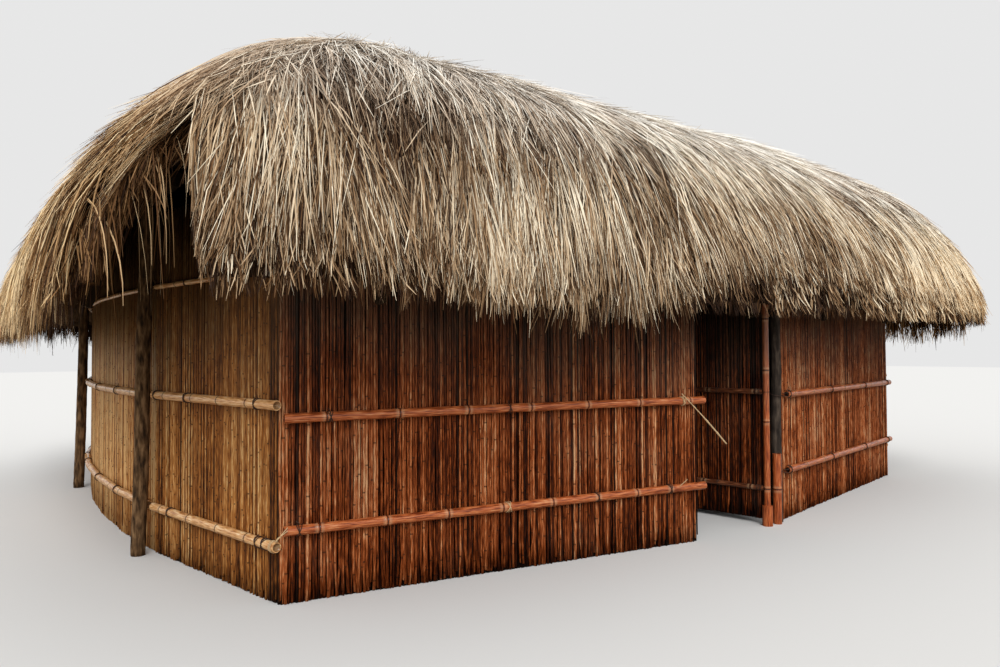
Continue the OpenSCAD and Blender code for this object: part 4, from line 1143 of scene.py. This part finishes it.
def verge_blades(count, seed):
    """Short grass, darkened as painted shade, that clothes the cut edge of the left side's thatch."""
    g = np.random.default_rng(seed)
    s, q = g.uniform(0.15, VERGE_TOP + 0.2, count), g.uniform(0.0, 0.9, count) ** 1.4
    start = verge_point(s, q, g.uniform(-0.01, 0.16, count) * (q < 0.3))
    down = unit(verge_point(np.maximum(s - 0.1, 0), q) - start - np.array([0, 0, 1e-4]))
    ell = np.minimum(g.uniform(0.12, 0.38, count), start[:, 2] - VERGE_LOW)
    f = np.linspace(0, 1, 4)[None, :, None]
    aim = unit(down + g.normal(0, 0.15, (count, 3)) - np.array([0, 0, 0.5]))
    paths = start[:, None] + aim[:, None] * np.maximum(ell, 0.03)[:, None, None] * f
    # Dark tones: painted shade on the cut edge
    return shaped_blades(paths, np.array([0.0, -1.0, 0.2]), g.normal(0.20, 0.15, count), 0.3, g)


def wisps(count, seed):
    """Thin strands that have slipped over the notch's edge and hang down in front of it."""
    g = np.random.default_rng(seed)
    s = VERGE_TOP * g.uniform(0.25, 1.15, count)
    back = g.uniform(0.02, 0.30, count)
    outside = np.zeros(count)
    start = verge_point(s, outside, back)
    slope = unit(verge_point(s - 0.1, outside, back) - start)
    toward = unit(verge_point(s, outside) - verge_point(s, outside, 0.2))
    share = g.uniform(0.3, 1.0, count)[:, None]
    aim = unit(slope * (1 - share) + toward * share + g.normal(0, 0.1, (count, 3)))
    run = back + g.uniform(0.0, 0.12, count)
    fall = np.minimum(g.uniform(0.25, 0.9, count), start[:, 2] - WISPS_LOW)
    f = np.linspace(0, 1, 7)[None, :, None]
    paths = start[:, None] + aim[:, None] * run[:, None, None] * (1 - (1 - f) ** 2)
    paths = paths + np.array([0, 0, 0.03]) * (1 - f) - np.array([0, 0, 1.0]) * fall[:, None, None] * f ** 1.6
    paths = paths + g.normal(0, 0.03, (count, 1, 3)) * f ** 2 * np.array([1, 1, 0])
    return shaped_blades(paths, np.array([0.0, -1.0, 0.0]), g.normal(0.50, 0.20, count), 0.2, g)


grass_piece("grass_verge", [verge_blades(VERGE, 990), wisps(WISPS, 991)])

# Door: how much darker its reeds are painted, as shade in the doorway, and heights of its pole's nodes
LEAF_SHADE_TONE, POLE_NODE_ZS, STUB_NODE = -0.18, (0.31, 0.88, 1.32, 1.76), 0.295


def door_xy(x, y):
    c, s = math.cos(OPEN_ANGLE), math.sin(OPEN_ANGLE)
    return np.stack([PIVOT[0] + c * x - s * y, PIVOT[1] + s * x + c * y], -1)


def door_place(s, depth):
    """Points of the leaf at lengths s from its pole's side, moved by depth from the face with the rails."""
    x = LEAF_GAP + s
    y = -LEAF_RAIL_R - SEAT - depth * LEAF_T / WALL_T
    along = unit(door_xy(x + 1, 0 * x) - door_xy(x, 0 * x))
    inwards = unit(door_xy(0 * x, 0 * x - 1) - door_xy(0 * x, 0 * x))
    return door_xy(x, y), along, inwards


def upright_culm(name, sides, seed, node_zs, body):
    """A bamboo pole in place of an upright CAD node, with nodes at heights above its foot."""
    lo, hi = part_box(name)
    x, y = (lo[0] + hi[0]) / 2, (lo[1] + hi[1]) / 2
    path = [(x, y, lo[2]), (x, y, hi[2])]
    bamboo(name, [culm(path, (hi[0] - lo[0]) / 2, seed, sides, node_zs)], POLE_BAMBOO, body)


leaf_top = lambda s: LEAF_Z1 + 0 * s
v, f, (tone, phase) = reed_layers(door_place, LEAF_W - LEAF_GAP, leaf_top, 77, True, LEAF_Z0)
# The leaf's reeds are darkened as painted shade in the doorway
mesh_object("reeds_door_leaf", v, f, "door", RED_REED, replaces=["door_leaf"],
            attributes={"tone": tone + LEAF_SHADE_TONE, "phase": phase})
door_rails = [[(*door_xy(POLE_R, 0), z), (*door_xy(LEAF_W, 0), z)] for z in LEAF_RAIL_ZS]
# The door's rails get the bamboo painted as shade in the doorway
bamboo("door_rails", [culm(rail, LEAF_RAIL_R, 800 + n, 12) for n, rail in enumerate(door_rails)],
       SHADED_BAMBOO, "door")
pole_z0, pole_z1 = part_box("pivot_pole")[0][2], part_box("pivot_pole")[1][2]
pole_nodes = [z - pole_z0 for z in POLE_NODE_ZS]
bamboo("pivot_pole", [culm([(*PIVOT, pole_z0), (*PIVOT, pole_z1)], POLE_R, 810, 18, pole_nodes)],
       POLE_BAMBOO, "door")
upright_culm("jamb_stub", 20, 820, [STUB_NODE], "house")

# Ties of wire and split rattan: radii of the strands, and steps of a ring round and across
WIRE_R, DOOR_WIRE_R, JAMB_WIRE_R, RATTAN_R, KNOT_R = 0.0028, 0.002, 0.0025, 0.003, 0.0034
RING_STEPS, RING_SIDES = 14, 4
# Lengths along the rails at which their ties sit; for the ends by row and stretch
MID_TIES, LOW_TIES, RATTAN_TIE = (0.27, 1.491), (0.087, 2.198, 2.855), 1.48
RIGHT_TIES, REAR_TIES, REAR_EDGE = (0.035, 1.08, 2.1, 2.9), 8, 0.2
END_TIES = {(1, 2): (0.06, 0.56, 1.50), (0, 2): (0.30, 1.52, 1.60), (1, 1): (0.5, 1.7, 2.5, 3.2),
            (0, 1): (0.5, 1.7, 2.5, 3.2), (1, 0): (0.3, 1.2), (0, 0): (0.3, 1.2), (2, 0): (0.3, 1.2),
            (2, 1): (0.8, 2.6), (2, 2): (0.5, 1.4)}


def tie_ring(middle, axis, radius, thick, tilt, turn):
    """A closed ring of wire round an axis, tilted by a slope in the direction of turn."""
    middle, axis = np.array(middle, float), unit(np.array(axis, float))
    path = rings_round(middle[None, None], np.array([[radius + thick]]), RING_STEPS, axis[None, None])[0, 0]
    path = path + axis * (radius * tilt * np.sin(angles(RING_STEPS) + turn))[:, None]
    out = unit(path - middle)[:, None]
    along = unit(np.roll(path, -1, 0) - np.roll(path, 1, 0))[:, None]
    b = angles(RING_SIDES)[:, None]
    verts = path[:, None] + thick * (out * np.cos(b) + np.cross(along, out) * np.sin(b))
    i = np.arange(RING_STEPS)[:, None] * RING_SIDES
    j = np.roll(i, -1, 0)
    p, q = np.arange(RING_SIDES), (np.arange(RING_SIDES) + 1) % RING_SIDES
    return verts.reshape(-1, 3), [np.stack([i + p, i + q, j + q, j + p], -1).reshape(-1, 4)]


def strand(points, radii):
    """A thin rod through a few points, smoothed."""
    points = np.asarray(points, float)
    u = np.linspace(0, len(points) - 1, 4 * len(points))
    path = points_at(points, np.arange(len(points)), u)
    path[1:-1] = (path[:-2] + 2 * path[1:-1] + path[2:]) / 4
    return tubes(path[None], np.interp(u, [0, len(points) - 1], radii)[None], 6)


def tie(path, s, seed, r=RAIL_R, thick=WIRE_R, tail=True):
    """A cross of rings round a rail, with a twisted end standing up."""
    g = np.random.default_rng(seed)
    p, d = at_length(path, s)
    tilts = (0.55, -0.55, g.uniform(-0.2, 0.2))
    out = [tie_ring(p, d, r, thick, tilt, g.uniform(-0.4, 0.4)) for tilt in tilts]
    if tail:
        face = np.array([d[1], -d[0], 0])
        start = p + np.array([0, 0, r])
        out.append(strand([start, start + 0.012 * face * g.uniform(-1, 1) + [0, 0, 0.012],
                           start + d * g.normal(0, 0.012) + [0, 0, g.uniform(0.015, 0.035)]],
                          [thick, 0.6 * thick]))
    return out


def ties(path, places, seed, **kind):
    return [part for k, s in enumerate(places) for part in tie(path, s, seed + k, **kind)]


def tie_piece(name, parts, body, mat):
    v, f, _ = joined(parts)
    mesh_object(name, v, f, body, mat)


wire = ties(front_mid, MID_TIES, 1000) + ties(front_low, LOW_TIES, 1010)
for name in ("left_end_rails", "right_end_rails"):
    for (row, n), places in END_TIES.items():
        kind = {"r": END_RAILS[row][1], "tail": row < 2}
        wire += ties(end_pieces[name, row, n], places, 1100 + 10 * row + n, **kind)
for rail in (right_mid, right_low):
    wire += ties(rail, RIGHT_TIES, 1200)
for z in (LOW_Z, MID_Z):
    rail = bent_path(9, 12, z, RAIL_R, -CORNER_SHORT)
    wire += ties(rail, np.linspace(REAR_EDGE, lengths_along(rail)[-1] - REAR_EDGE, REAR_TIES), 1300)
jamb_lo, jamb_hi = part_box("jamb_post")
jamb_x, jamb_y = (jamb_lo[0] + jamb_hi[0]) / 2, (jamb_lo[1] + jamb_hi[1]) / 2
for k, rail in enumerate((right_low, right_mid)):
    p, d = at_length(rail, 0.03)
    wire.append(tie_ring((jamb_x, jamb_y, p[2]), (0, 0, 1), POST_R, JAMB_WIRE_R, 0.25, 0.6 + k))
    for side in (-1, 1):
        edge = np.array([jamb_x + 0.02, jamb_y - POST_R - 0.002, p[2] + 0.012 * side])
        wire.append(strand([edge, (edge + p) / 2 + [0, -0.03, 0.01 * side],
                            p + [0, -0.012, (RAIL_R + 0.002) * side]], [WIRE_R, WIRE_R]))
tie_piece("wire_ties", wire, "house", WIRE)

# Rattan round both low rails where they meet at the near corner
rattan = tie(front_low, RATTAN_TIE, 1020, thick=RATTAN_R, tail=False)
corner_rail = end_pieces["left_end_rails", 0, 2]
corner_a, _ = at_length(front_low, 0.015)
corner_b, dir_b = at_length(corner_rail, lengths_along(corner_rail)[-1] - 0.03)
for k in range(3):
    rattan.append(tie_ring(corner_b + dir_b * 0.008 * (k - 1), dir_b, RAIL_R, WIRE_R, 0.15 * (k - 1), k))
for k in range(2):
    middle = (corner_a + corner_b) / 2 + [-0.035, -0.035, 0.01 * k]
    rattan.append(strand([corner_b + [0, -0.03, 0.028], middle,
                          corner_a + [-0.005, -0.034, 0.03 - 0.02 * k]], [WIRE_R, WIRE_R]))

# Knot and loose end of cane on the middle rail beside the doorway, and a loose end on the low one
KNOT_AT, LOOSE_AT = 2.987, 2.93
CANE_STEPS, CANE_JOINTS, CANE_BOW = 26, (7, 14, 20), 0.008
CANE_R = (0.0036, 0.0042, 0.0062, 0.0058)
for k in range(3):
    p, d = at_length(front_mid, KNOT_AT + 0.007 * (k - 1))
    rattan.append(tie_ring(p, d, RAIL_R, KNOT_R, 0.25 * (k - 1), 0.5 * k))
p, d = at_length(front_low, LOOSE_AT)
rattan.append(strand([p + [0, -0.030, 0.020], p + d * 0.03 + [0, -0.045, 0.05],
                      p + d * 0.055 + [0, -0.05, 0.07]], [RATTAN_R, 0.002]))
tie_piece("rattan_ties", rattan, "house", RATTAN)
stick_low, stick_high = (np.array(end) for end in upright_ends(node_islands("tie_stick")[0]))
f = np.linspace(0, 1, CANE_STEPS)
cane = stick_high + (stick_low - stick_high) * f[:, None] + np.outer(np.sin(np.pi * f) * CANE_BOW, [0, 0, 1])
cane_r = np.interp(f, (0, 0.4, 0.6, 1), CANE_R)
cane_r[list(CANE_JOINTS)] *= 1.4
v, faces = tubes(cane[None], cane_r[None], 8)
mesh_object("loose_cane", v, faces, "house", RATTAN, replaces=["tie_stick"])

door_ties = []
for n, (z, rail) in enumerate(zip(LEAF_RAIL_ZS, door_rails)):
    thin = {"r": LEAF_RAIL_R, "thick": DOOR_WIRE_R}
    door_ties += ties(rail, (0.030, 0.055), 1400 + 10 * n, tail=False, **thin)
    door_ties += ties(rail, (0.42, 0.74), 1402 + 10 * n, **thin)
    for k in (-1, 1):
        door_ties.append(tie_ring((*PIVOT, z + 0.012 * k), (0, 0, 1), POLE_R, DOOR_WIRE_R, 0.5 * k, 1.0))
tie_piece("door_ties", door_ties, "door", WIRE)

# Stage: a pale floor that throws back less light than it shows
FLOOR, FLOOR_SEEN, FLOOR_LIT = 60.0, (0.72, 0.715, 0.70), (0.40, 0.36, 0.31)
floor_mesh = bpy.data.meshes.new("floor")
floor_mesh.from_pydata([(x * FLOOR, y * FLOOR, 0) for x, y in ((-1, -1), (1, -1), (1, 1), (-1, 1))],
                       [], [(0, 1, 2, 3)])
floor = linked("floor", floor_mesh)
floor_mat, nodes = material("floor")
nodes.surface(nodes.mix(nodes.is_camera_ray(), FLOOR_LIT, FLOOR_SEEN), 0.95, 0.0)
floor_mesh.materials.append(floor_mat)

# Camera where the picture was taken from
CAMERA_AT = (-5.187, -7.676, 1.5)
LOOK = (0.593, 0.805, 0.0)
PITCH, ROLL = math.radians(1.35), math.radians(-0.28)
FOCAL_PX, IMAGE_W, SENSOR = 730, 1000, 36.0
cam = bpy.data.cameras.new("camera")
cam.sensor_width = SENSOR
cam.lens = FOCAL_PX / IMAGE_W * SENSOR
cam_obj = linked("camera", cam)
forward = Vector(LOOK).normalized() * math.cos(PITCH) + Vector((0, 0, math.sin(PITCH)))
right = Vector(LOOK).cross(Vector((0, 0, 1))).normalized()
up = right.cross(forward)
x_axis = right * math.cos(ROLL) + up * math.sin(ROLL)
y_axis = up * math.cos(ROLL) - right * math.sin(ROLL)
turned = Matrix((x_axis, y_axis, -forward)).transposed().to_4x4()
cam_obj.matrix_world = Matrix.Translation(CAMERA_AT) @ turned
bpy.context.scene.camera = cam_obj

# Light: an even sky with one wide soft sun, and a pale backdrop for the camera alone
SKY, BACKDROP, SUN = 0.88, 0.80, 1.8
SUN_FROM, SUN_WIDTH = (-5.0, -8.5, 8.0), math.radians(35)
world = bpy.data.worlds.new("world")
bpy.context.scene.world = world
nodes = Nodes(world)
sky = nodes.tree.nodes["Background"]
sky.inputs["Color"].default_value = (1, 1, 1, 1)
sky.inputs["Strength"].default_value = SKY
backdrop = nodes.add("ShaderNodeBackground", Strength=1.0)
backdrop.inputs["Color"].default_value = (BACKDROP, BACKDROP, BACKDROP, 1)
blend = nodes.add("ShaderNodeMixShader")
for socket, source in zip(blend.inputs, (nodes.is_camera_ray(), sky.outputs[0], backdrop.outputs[0])):
    nodes.plug(socket, source)
nodes.plug(nodes.tree.nodes["World Output"].inputs["Surface"], blend.outputs[0])
sun = bpy.data.lights.new("sun", "SUN")
sun.energy = SUN
sun.angle = SUN_WIDTH
linked("sun", sun).rotation_euler = Vector(SUN_FROM).to_track_quat("Z", "Y").to_euler()
bpy.context.scene.view_settings.view_transform = "Standard"
